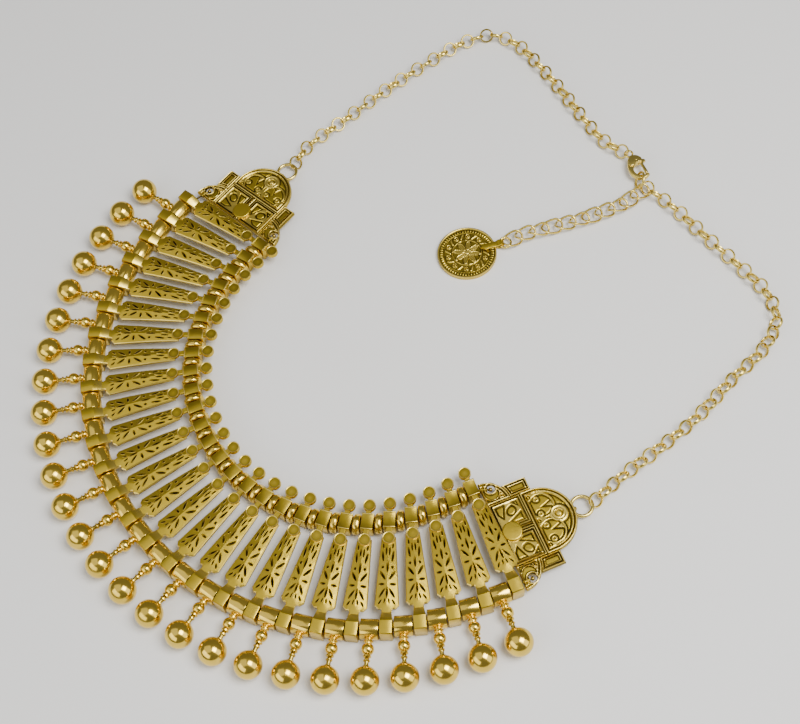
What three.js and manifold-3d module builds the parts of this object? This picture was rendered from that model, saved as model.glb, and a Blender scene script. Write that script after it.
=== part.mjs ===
// A bib necklace of antique brass, lying open on a flat surface as it does on a jeweller's table.
// Millimetres, +Z up. The bib lies towards -Y and the clasp towards +Y, with the neck opening between
// them. The model is laid out round the centre of the bib's arc, and the finished group is then moved
// so that its origin is the middle of the footprint, on the surface.

import * as THREE from "three";
import { mergeVertices } from "three/addons/utils/BufferGeometryUtils.js";
import Module from "manifold-3d";

const wasm = await Module();
wasm.setup();

// General
const CLEAR = 0.3; // gap between pieces that touch on the real necklace
const ROUND_SIDES = 10; // sides of a bead, disc or ball
const WIRE_SIDES = 5; // sides of a ring's wire
const DISC_SIDES = 8; // sides of a bar's discs
const SMALL_SIDES = 8; // sides of the small holes and bosses
const BORE_SIDES = 6; // sides of a hidden bore
const PAST = 1; // how far a cut runs past the face it opens

// The fan of bars
const BAR_COUNT = 27;
const TIP_CIRCLE_R = 47; // circle through the middles of the tip discs
const TIP_SPREAD_DEG = 176.3; // from the first tip to the last, round that circle
const BAR_SPREAD_DEG = 148.7; // between the directions of the first bar and the last
const FAN_TURN_DEG = -1.4; // the whole fan lies turned a little, clockwise from above

// One bar, measured outwards from the middle of its tip disc
const BAR_LENGTH = 29.7; // to the wide end of the plate
const INNER_COLLAR_AT = 4.7;
const MID_DISC_AT = 10;
const OUTER_COLLAR_OUT = 4.5; // from the plate's wide end to the outer collar
const DISC_R = 1.75;
const DISC_RISE = 0.25; // a disc's top above the plate's top
const PLATE_WIDE = 6.5; // width at the outer end
const PLATE_NARROW = 3.9; // width beside the mid disc
const PLATE_T = 1.2;
const PLATE_ROOT = 0.3; // the plate starts this far before the mid disc
const PLATE_CHAMFER = 1.2; // cut off the two outer corners
const SPINE_WIDE = 1.7; // the rib that joins discs and collar
const NECK_WIDE = 2.6;
// Collars: chamfer is on the top edge's outer side, rise is the collar's top above the plate's top
const INNER_COLLAR = { along: 2.9, radial: 4.7, chamfer: 0.4, rise: 0.15 };
const OUTER_COLLAR = { along: 3.2, radial: 5.4, chamfer: 1.0, rise: 0.9 };
const COLLAR_HEIGHT = 4.8; // from a collar's foot to the plate's top

// Strands
const THREAD_R = 0.45;
const THREAD_PLAY = 0.65; // between thread and bore
const TUBE_R = 2.75;
const BARREL_R = 3.0; // a spacer bead at its middle
const BARREL_EDGE = 0.35; // its ends slope back by this much towards the rim
const BARREL_LENGTH = 2.1;
const CRIMP_R = 0.95; // the crimp that ends each thread
const HALF = 0.5; // halfway between two bars, where a bead sits

// A drop, measured outwards from the axis of its tube bead
const DROP_REACH = 13.9; // to the middle of the ball
const BALL_R = 3.85;
const DROP_NECK_R = 0.8;
const SMALL_BALL_AT = 5.5;
const SMALL_BALL_R = 1.7;
const BALL_NECK_ANGLE = 0.22; // radians from the drop's axis to where the neck meets the ball
const BALL_FACET_ANGLE = 0.9; // radians from the axis to the ball's middle rows

// An end plaque: u runs from its base to its top, v along its base
const PLAQUE_HALF = 16.4;
const CORNER_ARCH_R = 6.7;
const STEP_HALF = 13.4;
const STEP_TOP = 12.7;
const DOME_R = 9.5;
const DOME_CENTRE = 11.9;
const PLAQUE_T = 1.0;
const RELIEF = 0.45; // raised borders above the plaque's ground
const BORDER = 0.8; // width of the raised outer border
const BLOCK_HALF = 9.4; // the two framed squares together
const BLOCK_TOP = 9.2;
const FRAME_WIDE = 0.7;
const FRAME_GAP = 0.7; // between the two squares, at each side of the middle
const BOSS_R = 2.75;
const BOSS_AT = 3.15;
const BOSS_RISE = 1.1; // above the ground
const TARGE_AT = 16.8; // the small ringed circle under the top of the dome
const TARGE_R = 2.1;
const PIERCE_R = 1.3;
const PIERCE_AT = { u: 2.75, v: 13.85 };
const SLEEVE_WALL = 0.6;
// How each plaque lies beside its end bar: the gap from the bar's outer collar to the plaque's base, the
// slide along the bar towards the neck, and the plaque's own turn.
const LEFT_FIT = { gap: 1.85, slide: 1.3, leanDeg: -2.75 };
const RIGHT_FIT = { gap: 0.7, slide: -0.8, leanDeg: 0.5 };
const LOOP_AT = 20.8;
const LOOP_WALL = 0.6;
const LOOP_T = 0.9;

// Rings
const PLAQUE_RING = { r: 2.9, wire: 0.5 };
const END_RING = { r: 2.5, wire: 0.4 };
const COIN_RING = { r: 1.75, wire: 0.35 };
const RING_SEGMENTS = 12;

// Chains, as the tubes that their links fill
const NECK_CHAIN_R = 2.2;
const EXTENDER_R = 1.9;
const TUBE_SIDES = 8;
const CHAIN_STEP = 11; // length of a tube's step
const EXTENDER_STEP = 9;

// Routes of the chains, seen from above, from the bib towards the clasp and from the clasp to the coin.
const LEFT_ROUTE = [
  [-70.9, 25.4], [-73.4, 32], [-74.2, 50], [-74.8, 68], [-74.3, 84], [-73.2, 96], [-69, 105.6], [-60.5, 108.9],
  [-50, 108.6], [-37, 107], [-24, 104.8], [-13, 103.6], [-6.3, 105],
];
const RIGHT_ROUTE = [
  [74.9, 19.7], [74.4, 30], [74.8, 45], [74.6, 58], [72.4, 74], [71.2, 87], [66.8, 97], [58.5, 101.3],
  [46, 102], [33, 102], [20, 102.3], [9.1, 101.4],
];
const EXTENDER_ROUTE = [
  [8.7, 98.6], [8.2, 91.5], [6.6, 86], [4.6, 80], [1.6, 73], [-1.2, 67], [-3.3, 62], [-4.1, 58.5],
];

// Clasp, laid along its own X axis from the middle of its loop
const CLASP_AT = { x: -3.8, y: 105.5 };
const CLASP_TURN_DEG = -14;
const CLASP_T = 2.2;
const CLASP_LOOP_R = 1.5;
const CLASP_LOOP_HOLE_R = 0.85;
const HOOK_T = 1.5;
const LEVER_T = 0.9;
const PIVOT = { x: 3.3, y: 0.75 };
const PIN_R = 0.45;
const LEVER_EYE_R = 1.25;
const LEVER_EYE_SIDES = 12;
const HOOK_ROOT = { x: 1, y: 0.6 }; // where the hook leaves the loop, half its width there
const HOOK_OUTSIDE = [[3.2, -2.3], [6.2, -3.3], [8.8, -2.75], [10.2, -1.2], [10.4, 0.6], [9.9, 1.9]];
const HOOK_INSIDE_START = [9.2, 1.8];
const HOOK_INSIDE = [[9.3, 0.6], [8.9, -0.9], [7.7, -1.75], [6.1, -1.6], [5, -0.7], [4.6, 0.4]];
const HOOK_SHOULDER = [[4.7, 2.1], [3.4, 2.4]];
const SHOULDER = [[1.6, -0.9], [4.6, -2.3], [5, -1], [4.5, 0.2], [4.6, 2], [3.4, 2.3], [1.6, 0.9]];
const SLOT_OPEN_Y = 4; // the lever's slot is open on this side
const LEVER_OUTLINE = [
  [3.2, 1.9], [4.1, 3.2], [4.9, 3.1], [5.2, 2.2], [8.85, 1.9], [8.9, 1], [5, 1.1], [4.1, 0.2], [3.4, 0.2],
];
const RING_IN_HOOK = { x: 8, y: -0.75 }; // where the end ring passes through the hook
const END_RING_TURN_DEG = -25;
const END_RING_LEAN_DEG = 65;

// Coin
const COIN_R = 9;
const COIN_T = 1.1;
const COIN_RIM_WIDE = 1.0;
const COIN_RIM_RISE = 0.25;
const COIN_SIDES = 20;
const COIN_RING_AT = { x: -4.9, y: 56.2 };
const COIN_FROM_RING = 3; // from the ring's middle to the coin's edge
const COIN_TURN_DEG = -114; // the direction from the coin's ring to its middle
const BAIL_WIDE = 1.9;
const BAIL_T = 0.6;
const BAIL_ON_COIN = 4.2; // length of the bail's leaf on the coin's face

// Heights
const railZ = Math.max(TUBE_R, BARREL_R); // the axes of both strands
const plateTop = railZ + COLLAR_HEIGHT / 2;
const plateBottom = plateTop - PLATE_T;
const plaqueGround = plateBottom - CLEAR - RELIEF; // the plaque's face between its borders
const plaqueBottom = plaqueGround - PLAQUE_T;
const boreR = THREAD_R + THREAD_PLAY;
const sleeveBoreR = THREAD_R + CLEAR;

// Closed geometry to solid and back

function solidOf(geometry) {
  const bare = geometry.clone();
  bare.deleteAttribute("normal");
  bare.deleteAttribute("uv");
  const merged = mergeVertices(bare, 1e-4);
  return new wasm.Manifold(
    new wasm.Mesh({
      numProp: 3,
      vertProperties: merged.attributes.position.array,
      triVerts: new Uint32Array(merged.index.array),
    }),
  );
}

function geometryOf(solid) {
  const mesh = solid.getMesh();
  const geometry = new THREE.BufferGeometry();
  const places = new Float32Array(mesh.numVert * 3);
  for (let i = 0; i < mesh.numVert; i++)
    for (let k = 0; k < 3; k++)
      places[3 * i + k] = mesh.vertProperties[i * mesh.numProp + k];
  geometry.setAttribute("position", new THREE.BufferAttribute(places, 3));
  geometry.setIndex(new THREE.BufferAttribute(new Uint32Array(mesh.triVerts), 1));
  geometry.computeVertexNormals();
  return geometry;
}

function join(geometries, cuts = []) {
  let whole = solidOf(geometries[0]);
  for (const geometry of geometries.slice(1)) whole = whole.add(solidOf(geometry));
  for (const geometry of cuts) whole = whole.subtract(solidOf(geometry));
  return geometryOf(whole);
}

// Simple shapes

function slab(shape, low, high, curveSegments = 4) {
  return new THREE.ExtrudeGeometry(shape, { depth: high - low, bevelEnabled: false, curveSegments }).translate(
    0,
    0,
    low,
  );
}

function polygon(points) {
  return new THREE.Shape(points.map(([x, y]) => new THREE.Vector2(x, y)));
}

function discAt(x, y, r, z0, z1, sides = ROUND_SIDES) {
  return new THREE.CylinderGeometry(r, r, z1 - z0, sides).rotateX(Math.PI / 2).translate(x, y, (z0 + z1) / 2);
}

// A rod of the given radius between two points.
function rod(from, to, r, sides = ROUND_SIDES) {
  const run = new THREE.Vector3().subVectors(to, from);
  const turn = new THREE.Quaternion().setFromUnitVectors(new THREE.Vector3(0, 1, 0), run.clone().normalize());
  const middle = new THREE.Vector3().addVectors(from, to).multiplyScalar(0.5);
  return new THREE.CylinderGeometry(r, r, run.length(), sides).applyQuaternion(turn).translate(
    middle.x,
    middle.y,
    middle.z,
  );
}

// A tube of regular section along a smooth route.
function tube(points, r, sides, steps) {
  const section = new THREE.Shape();
  for (let i = 0; i < sides; i++) {
    const a = (2 * Math.PI * (i + 0.5)) / sides;
    if (i === 0) section.moveTo(r * Math.cos(a), r * Math.sin(a));
    else section.lineTo(r * Math.cos(a), r * Math.sin(a));
  }
  section.closePath();
  const path = new THREE.CatmullRomCurve3(points, false, "centripetal");
  return new THREE.ExtrudeGeometry(section, { extrudePath: path, steps, bevelEnabled: false });
}

// Layout of the fan: each bar's tip and direction

const barStep = THREE.MathUtils.degToRad(BAR_SPREAD_DEG) / (BAR_COUNT - 1);
const tipStep = THREE.MathUtils.degToRad(TIP_SPREAD_DEG) / (BAR_COUNT - 1);
const fanAxis = -Math.PI / 2 + THREE.MathUtils.degToRad(FAN_TURN_DEG); // direction of the middle bar
const middleBar = (BAR_COUNT - 1) / 2;

// The place on the axis of bar number i at a given distance from its tip; i may lie between two bars.
function onBar(i, distance) {
  const tip = fanAxis + (i - middleBar) * tipStep;
  const direction = barDirection(i);
  return new THREE.Vector3(
    TIP_CIRCLE_R * Math.cos(tip) + distance * Math.cos(direction),
    TIP_CIRCLE_R * Math.sin(tip) + distance * Math.sin(direction),
    railZ,
  );
}

function barDirection(i) {
  return fanAxis + (i - middleBar) * barStep;
}

const outerCollarAt = BAR_LENGTH + OUTER_COLLAR_OUT;

// Bars

function collar(at, size) {
  const half = size.radial / 2;
  const low = railZ - COLLAR_HEIGHT / 2;
  const high = plateTop + size.rise;
  const profile = polygon([
    [at - half, low],
    [at + half, low],
    [at + half, high - size.chamfer],
    [at + half - size.chamfer, high],
    [at - half, high],
  ]);
  return slab(profile, 0, size.along).rotateX(Math.PI / 2).translate(0, size.along / 2, 0);
}

function bore(at, size) {
  return new THREE.CylinderGeometry(boreR, boreR, size.along + 2 * PAST, BORE_SIDES).translate(at, 0, railZ);
}

// Tip disc, spine, plate and neck share one outline, seen from above.
function barOutline() {
  const wide = PLATE_WIDE / 2;
  const narrow = PLATE_NARROW / 2;
  const spine = SPINE_WIDE / 2;
  const half = [
    [-DISC_R, DISC_R * Math.tan(Math.PI / 8)],
    [-DISC_R * Math.tan(Math.PI / 8), DISC_R],
    [DISC_R * Math.tan(Math.PI / 8), DISC_R],
    [DISC_R, spine],
    [MID_DISC_AT - DISC_R - PLATE_ROOT, spine],
    [MID_DISC_AT, narrow],
    [BAR_LENGTH - PLATE_CHAMFER, wide],
    [BAR_LENGTH, NECK_WIDE / 2],
    [outerCollarAt, NECK_WIDE / 2],
  ];
  return polygon([...half.map(([x, y]) => [x, -y]), ...half.reverse()]);
}

function barGeometry() {
  const top = plateTop + DISC_RISE;
  return join(
    [
      slab(barOutline(), plateBottom, plateTop),
      discAt(MID_DISC_AT, 0, DISC_R, plateBottom + PLATE_T / 2, top, DISC_SIDES),
      collar(INNER_COLLAR_AT, INNER_COLLAR),
      collar(outerCollarAt, OUTER_COLLAR),
    ],
    [bore(INNER_COLLAR_AT, INNER_COLLAR), bore(outerCollarAt, OUTER_COLLAR)],
  );
}

// Strands

// Space for a bead between two neighbouring collars, along the strand.
function beadRoom(at, collarAlong, beadR) {
  const pitch = onBar(middleBar + HALF, at).distanceTo(onBar(middleBar - HALF, at));
  return pitch - collarAlong - 2 * (CLEAR + beadR * Math.tan(barStep / 2));
}

const tubeLength = beadRoom(outerCollarAt, OUTER_COLLAR.along, TUBE_R);
const barrelLength = Math.min(BARREL_LENGTH, beadRoom(INNER_COLLAR_AT, INNER_COLLAR.along, BARREL_R));

function dropGeometry() {
  const profile = [
    [0, TUBE_R / 2],
    [SMALL_BALL_R, SMALL_BALL_AT],
    [DROP_NECK_R, SMALL_BALL_AT + SMALL_BALL_R],
    [DROP_NECK_R, DROP_REACH - BALL_R * Math.cos(BALL_NECK_ANGLE)],
    [BALL_R * Math.sin(BALL_FACET_ANGLE), DROP_REACH - BALL_R * Math.cos(BALL_FACET_ANGLE)],
    [BALL_R, DROP_REACH],
    [BALL_R * Math.sin(BALL_FACET_ANGLE), DROP_REACH + BALL_R * Math.cos(BALL_FACET_ANGLE)],
    [0, DROP_REACH + BALL_R],
  ].map(([r, d]) => new THREE.Vector2(r, d));
  const rise = Math.asin((BALL_R - railZ) / DROP_REACH);
  return new THREE.LatheGeometry(profile, ROUND_SIDES).rotateZ(-Math.PI / 2).rotateY(-rise);
}

// The outline of half a bead string's section at one bead: [radius, distance along the thread].
function tubeBead() {
  const half = tubeLength / 2;
  return [[THREAD_R, -half], [TUBE_R, -half], [TUBE_R, half], [THREAD_R, half]];
}

function barrelBead() {
  const half = barrelLength / 2;
  return [[THREAD_R, -half], [BARREL_R, BARREL_EDGE - half], [BARREL_R, half - BARREL_EDGE], [THREAD_R, half]];
}

function crimp() {
  return [[THREAD_R, -CRIMP_R], [CRIMP_R, -CRIMP_R / 2], [CRIMP_R, CRIMP_R / 2], [0, CRIMP_R]];
}

// The direction of a strand where it crosses bar number i, away from the middle bar.
function strandDirection(side, i) {
  const direction = barDirection(i);
  return new THREE.Vector3(-side * Math.sin(direction), side * Math.cos(direction), 0);
}

// Half a strand, from the middle bar to the plaque on one side (-1 left, 1 right): thread and beads are
// turned in one straight lathe, whose rows are then carried to the places of their beads.
function strandGeometry(side, at, bead) {
  const count = Math.floor(middleBar);
  const rows = [];
  const addRows = (section, place, along) => {
    for (const [r, y] of section) rows.push({ r, y, place, along });
  };
  const away = strandDirection(side, middleBar);
  addRows([[0, 0], [THREAD_R, 0]], onBar(middleBar, at).addScaledVector(away, CLEAR / 2), away);
  for (let k = 0; k < count; k++) {
    const i = middleBar + side * (k + HALF);
    addRows(bead(), onBar(i, at), strandDirection(side, i));
  }
  const end = threadEnd(side, at);
  const last = onBar(middleBar + side * middleBar, at);
  addRows([[THREAD_R, 0]], last, strandDirection(side, middleBar + side * middleBar));
  addRows(crimp(), end, new THREE.Vector3().subVectors(end, last).normalize());
  return carryRows(rows);
}

function carryRows(rows) {
  const profile = rows.map(({ r }, j) => new THREE.Vector2(r, j));
  const geometry = new THREE.LatheGeometry(profile, ROUND_SIDES);
  const places = geometry.attributes.position;
  const up = new THREE.Vector3(0, 0, 1);
  const vertex = new THREE.Vector3();
  for (let i = 0; i < places.count; i++) {
    const { y, place, along } = rows[i % rows.length];
    const across = new THREE.Vector3().crossVectors(along, up);
    vertex.fromBufferAttribute(places, i);
    const moved = place.clone().addScaledVector(across, vertex.x);
    moved.addScaledVector(along, y).addScaledVector(up, vertex.z);
    places.setXYZ(i, moved.x, moved.y, moved.z);
  }
  return geometry;
}

function outerStrandGeometry(side) {
  const pieces = [strandGeometry(side, outerCollarAt, tubeBead)];
  for (let k = 0; k < Math.floor(middleBar); k++) {
    const i = middleBar + side * (k + HALF);
    const place = onBar(i, outerCollarAt);
    pieces.push(dropGeometry().rotateZ(barDirection(i)).translate(place.x, place.y, place.z));
  }
  return join(pieces);
}

// End plaques

const plaqueMiddleAt = (INNER_COLLAR_AT + outerCollarAt) / 2;

// Where a plaque lies: the middle of its base, and the turn of its v axis.
function plaquePlace(side) {
  const fit = side > 0 ? RIGHT_FIT : LEFT_FIT;
  const i = middleBar + side * middleBar;
  const offset = OUTER_COLLAR.along / 2 + fit.gap; // from the end bar's axis to the plaque's base
  const base = onBar(i, plaqueMiddleAt - fit.slide).addScaledVector(strandDirection(side, i), offset);
  const turn = barDirection(i) + (side > 0 ? 0 : Math.PI) + THREE.MathUtils.degToRad(fit.leanDeg);
  return { base, turn };
}

function onPlaque(side, v, u, z) {
  const { base, turn } = plaquePlace(side);
  return new THREE.Vector3(
    base.x + v * Math.cos(turn) - u * Math.sin(turn),
    base.y + v * Math.sin(turn) + u * Math.cos(turn),
    z,
  );
}

// The same place in the plaque's own frame.
function fromPlaque(side, point) {
  const { base, turn } = plaquePlace(side);
  return point.clone().sub(new THREE.Vector3(base.x, base.y, 0)).applyAxisAngle(new THREE.Vector3(0, 0, 1), -turn);
}

// A thread ends in its crimp inside the pierced corner of the plaque.
function pierceWay(side, at) {
  return at > plaqueMiddleAt ? side : -side;
}

function threadEnd(side, at) {
  return onPlaque(side, pierceWay(side, at) * PIERCE_AT.v, PIERCE_AT.u, railZ);
}

// The plaque's outline, drawn in by a margin.
function plaqueOutline(margin, Kind = THREE.Shape) {
  const outline = new Kind();
  const archR = CORNER_ARCH_R - margin;
  const archV = PLAQUE_HALF - CORNER_ARCH_R;
  const step = STEP_HALF - margin;
  const stepTop = STEP_TOP - margin;
  const dome = DOME_R - margin;
  const archTurn = Math.acos((step - archV) / archR);
  const domeTurn = Math.asin((stepTop - DOME_CENTRE) / dome);
  const low = Math.asin(margin / archR);
  outline.moveTo(-archV - archR * Math.cos(low), margin);
  outline.lineTo(archV + archR * Math.cos(low), margin);
  outline.absarc(archV, 0, archR, low, archTurn, false);
  outline.lineTo(step, stepTop);
  outline.absarc(0, DOME_CENTRE, dome, domeTurn, Math.PI - domeTurn, false);
  outline.lineTo(-step, stepTop);
  outline.absarc(-archV, 0, archR, Math.PI - archTurn, Math.PI - low, false);
  return outline;
}

function frame(v0, v1, u0, u1) {
  const shape = polygon([[v0, u0], [v1, u0], [v1, u1], [v0, u1]]);
  const w = FRAME_WIDE;
  shape.holes.push(
    new THREE.Path([
      new THREE.Vector2(v0 + w, u0 + w),
      new THREE.Vector2(v0 + w, u1 - w),
      new THREE.Vector2(v1 - w, u1 - w),
      new THREE.Vector2(v1 - w, u0 + w),
    ]),
  );
  return shape;
}

function plaqueGeometry(side) {
  const reliefTop = plaqueGround + RELIEF;
  const root = plaqueGround - RELIEF; // raised parts start inside the plate
  const border = plaqueOutline(0);
  border.holes.push(plaqueOutline(BORDER, THREE.Path));
  const pieces = [
    slab(plaqueOutline(0), plaqueBottom, plaqueGround),
    slab(border, root, reliefTop),
    slab(frame(FRAME_GAP, BLOCK_HALF, BORDER + FRAME_GAP, BLOCK_TOP), root, reliefTop),
    slab(frame(-BLOCK_HALF, -FRAME_GAP, BORDER + FRAME_GAP, BLOCK_TOP), root, reliefTop),
    discAt(0, BOSS_AT, BOSS_R, root, plaqueGround + BOSS_RISE),
    discAt(0, TARGE_AT, TARGE_R, root, reliefTop, DISC_SIDES),
  ];
  const cuts = [];
  for (const at of [INNER_COLLAR_AT, outerCollarAt]) {
    const entry = fromPlaque(side, onBar(middleBar + side * middleBar, at));
    const hole = new THREE.Vector3(pierceWay(side, at) * PIERCE_AT.v, PIERCE_AT.u, railZ);
    const run = new THREE.Vector3().subVectors(hole, entry).normalize();
    const mouth = entry.clone().addScaledVector(run, -entry.y / run.y);
    const inside = hole.clone().addScaledVector(run, -PIERCE_R / 2);
    pieces.push(rod(mouth, inside, sleeveBoreR + SLEEVE_WALL, SMALL_SIDES));
    cuts.push(rod(entry, hole, sleeveBoreR, BORE_SIDES));
    cuts.push(discAt(hole.x, hole.y, PIERCE_R, plaqueBottom - PAST, plateTop, SMALL_SIDES));
  }
  const hole = loopHoleR();
  const wall = new THREE.CylinderGeometry(hole + LOOP_WALL, hole + LOOP_WALL, LOOP_T, ROUND_SIDES);
  pieces.push(wall.rotateZ(Math.PI / 2).translate(0, LOOP_AT, ringZ()));
  const opening = new THREE.CylinderGeometry(hole, hole, LOOP_T + PAST, SMALL_SIDES);
  cuts.push(opening.rotateZ(Math.PI / 2).translate(0, LOOP_AT, ringZ()));
  return join(pieces, cuts);
}

function loopHoleR() {
  return PLAQUE_RING.wire + CLEAR;
}

// The plaque ring lies level, close under the plaque.
function ringZ() {
  return plaqueBottom - loopHoleR();
}

// Rings and chains

function ringGeometry(size) {
  return new THREE.TorusGeometry(size.r, size.wire, WIRE_SIDES, RING_SEGMENTS);
}

function chainGeometry(points, r, step) {
  const path = new THREE.CatmullRomCurve3(points, false, "centripetal");
  return tube(points, r, TUBE_SIDES, Math.round(path.getLength() / step));
}

// A route as drawn, but starting from its plaque ring: the shift of its start fades towards its end.
function neckRoute(side, route) {
  const start = onPlaque(side, 0, LOOP_AT + 2 * PLAQUE_RING.r + PLAQUE_RING.wire + CLEAR, NECK_CHAIN_R);
  const shift = start.clone().sub(new THREE.Vector3(...route[0], NECK_CHAIN_R));
  return route.map(([x, y], k) =>
    new THREE.Vector3(x, y, NECK_CHAIN_R).addScaledVector(shift, 1 - k / (route.length - 1)),
  );
}

// Clasp, in its own frame: X from its loop to its hook, the lever on the +Y side

function claspBodyGeometry() {
  const half = CLASP_T / 2;
  const hookHalf = HOOK_T / 2;
  const hook = new THREE.Shape();
  hook.moveTo(HOOK_ROOT.x, -HOOK_ROOT.y);
  hook.splineThru(HOOK_OUTSIDE.map(toVector));
  hook.lineTo(...HOOK_INSIDE_START);
  hook.splineThru(HOOK_INSIDE.map(toVector));
  for (const corner of HOOK_SHOULDER) hook.lineTo(...corner);
  hook.lineTo(HOOK_ROOT.x, HOOK_ROOT.y);
  const slotHalf = LEVER_T / 2 + CLEAR;
  const reach = LEVER_EYE_R + CLEAR;
  const slot = polygon([
    [PIVOT.x - reach, PIVOT.y - reach],
    [PIVOT.x + reach + PAST, PIVOT.y - reach],
    [PIVOT.x + reach + PAST, SLOT_OPEN_Y],
    [PIVOT.x - reach, SLOT_OPEN_Y],
  ]);
  const body = join(
    [
      slab(hook, -hookHalf, hookHalf, 3),
      slab(polygon(SHOULDER), -half, half),
      discAt(0, 0, CLASP_LOOP_R, -LEVER_T / 2, LEVER_T / 2),
    ],
    [discAt(0, 0, CLASP_LOOP_HOLE_R, -half, half, SMALL_SIDES), slab(slot, -slotHalf, slotHalf)],
  );
  return join([body, discAt(PIVOT.x, PIVOT.y, PIN_R, -half, half, SMALL_SIDES)]);
}

function claspLeverGeometry() {
  const half = LEVER_T / 2;
  return join(
    [slab(polygon(LEVER_OUTLINE), -half, half), discAt(PIVOT.x, PIVOT.y, LEVER_EYE_R, -half, half, LEVER_EYE_SIDES)],
    [discAt(PIVOT.x, PIVOT.y, PIN_R + CLEAR, -half - PAST, half + PAST, SMALL_SIDES)],
  );
}

function toVector([x, y]) {
  return new THREE.Vector2(x, y);
}

// The hook holds the end ring, which leans steeply on the surface.
const endRingLean = THREE.MathUtils.degToRad(END_RING_LEAN_DEG);
const claspZ = END_RING.r * Math.sin(endRingLean) + END_RING.wire;

function endRingMesh() {
  const turn = THREE.MathUtils.degToRad(END_RING_TURN_DEG);
  const ring = ringGeometry(END_RING).rotateX(endRingLean).rotateZ(turn);
  return ring.translate(
    RING_IN_HOOK.x + END_RING.r * Math.cos(turn),
    RING_IN_HOOK.y + END_RING.r * Math.sin(turn),
    0,
  );
}

// Coin, in its own frame: X from the middle of its ring to its own middle

function coinGeometry() {
  const middle = COIN_FROM_RING + COIN_R;
  const rimTop = COIN_T + COIN_RIM_RISE;
  const profile = [
    [0, 0],
    [COIN_R, 0],
    [COIN_R, rimTop],
    [COIN_R - COIN_RIM_WIDE, rimTop],
    [COIN_R - COIN_RIM_WIDE, COIN_T],
    [0, COIN_T],
  ].map(toVector);
  const disc = new THREE.LatheGeometry(profile, COIN_SIDES).rotateX(Math.PI / 2).translate(middle, 0, 0);
  const tip = COIN_FROM_RING + BAIL_ON_COIN;
  const half = BAIL_WIDE / 2;
  const eye = COIN_RING.wire + CLEAR;
  const leaf = polygon([
    [COIN_RING.r + eye, -half],
    [tip - half, -half],
    [tip, 0],
    [tip - half, half],
    [COIN_RING.r + eye, half],
  ]);
  return join(
    [
      disc,
      slab(leaf, COIN_T - CLEAR, COIN_T + BAIL_T),
      new THREE.CylinderGeometry(eye + BAIL_T, eye + BAIL_T, BAIL_WIDE, ROUND_SIDES).translate(
        COIN_RING.r,
        0,
        coinRingZ(),
      ),
    ],
    [new THREE.CylinderGeometry(eye, eye, BAIL_WIDE + PAST, SMALL_SIDES).translate(COIN_RING.r, 0, coinRingZ())],
  );
}

function coinRingZ() {
  return COIN_RING.wire + CLEAR + BAIL_T;
}

// Materials, one for each finish

const FINISHES = {
  satin: { color: 0xa98f3c, roughness: 0.42, metalness: 1 },
  polished: { color: 0xc9a944, roughness: 0.16, metalness: 1 },
  chain: { color: 0xb59b4a, roughness: 0.28, metalness: 1 },
};

function piece(name, geometry, finish) {
  const mesh = new THREE.Mesh(geometry, new THREE.MeshStandardMaterial(FINISHES[finish]));
  mesh.name = name;
  return mesh;
}

// Assembly

const layout = new THREE.Group();

const bar = barGeometry();
for (let i = 0; i < BAR_COUNT; i++) {
  const mesh = piece(`bar_${String(i + 1).padStart(2, "0")}`, bar, "satin");
  const place = onBar(i, 0);
  mesh.position.set(place.x, place.y, 0);
  mesh.rotation.z = barDirection(i);
  layout.add(mesh);
}

const plaqueRing = ringGeometry(PLAQUE_RING);
for (const [side, word, route] of [[-1, "left", LEFT_ROUTE], [1, "right", RIGHT_ROUTE]]) {
  layout.add(piece(`outer_strand_${word}`, outerStrandGeometry(side), "polished"));
  layout.add(piece(`inner_strand_${word}`, strandGeometry(side, INNER_COLLAR_AT, barrelBead), "polished"));
  const { base, turn } = plaquePlace(side);
  const plaqueMesh = piece(`end_plaque_${word}`, plaqueGeometry(side), "satin");
  plaqueMesh.position.set(base.x, base.y, 0);
  plaqueMesh.rotation.z = turn;
  layout.add(plaqueMesh);
  const ringMesh = piece(`plaque_ring_${word}`, plaqueRing, "chain");
  ringMesh.position.copy(onPlaque(side, 0, LOOP_AT + PLAQUE_RING.r, ringZ()));
  ringMesh.rotation.z = turn;
  layout.add(ringMesh);
  layout.add(piece(`neck_chain_${word}`, chainGeometry(neckRoute(side, route), NECK_CHAIN_R, CHAIN_STEP), "chain"));
}

const clasp = new THREE.Group();
clasp.position.set(CLASP_AT.x, CLASP_AT.y, claspZ);
clasp.rotation.z = THREE.MathUtils.degToRad(CLASP_TURN_DEG);
clasp.add(piece("clasp_body", claspBodyGeometry(), "chain"));
clasp.add(piece("clasp_lever", claspLeverGeometry(), "chain"));
clasp.add(piece("end_ring", endRingMesh(), "chain"));
layout.add(clasp);

const extenderPoints = EXTENDER_ROUTE.map(([x, y]) => new THREE.Vector3(x, y, EXTENDER_R));
layout.add(piece("extender_chain", chainGeometry(extenderPoints, EXTENDER_R, EXTENDER_STEP), "chain"));

const coinEnd = new THREE.Group();
coinEnd.position.set(COIN_RING_AT.x, COIN_RING_AT.y, 0);
coinEnd.rotation.z = THREE.MathUtils.degToRad(COIN_TURN_DEG);
coinEnd.add(piece("coin", coinGeometry(), "satin"));
const coinRing = piece("coin_ring", ringGeometry(COIN_RING), "chain");
coinRing.position.z = coinRingZ();
coinEnd.add(coinRing);
layout.add(coinEnd);

// The origin goes to the middle of the footprint, on the surface.
layout.updateMatrixWorld(true);
const bounds = new THREE.Box3().setFromObject(layout, true);
layout.position.set(-(bounds.min.x + bounds.max.x) / 2, -(bounds.min.y + bounds.max.y) / 2, -bounds.min.z);

const necklace = new THREE.Group();
necklace.add(layout);

export default necklace;
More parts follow.
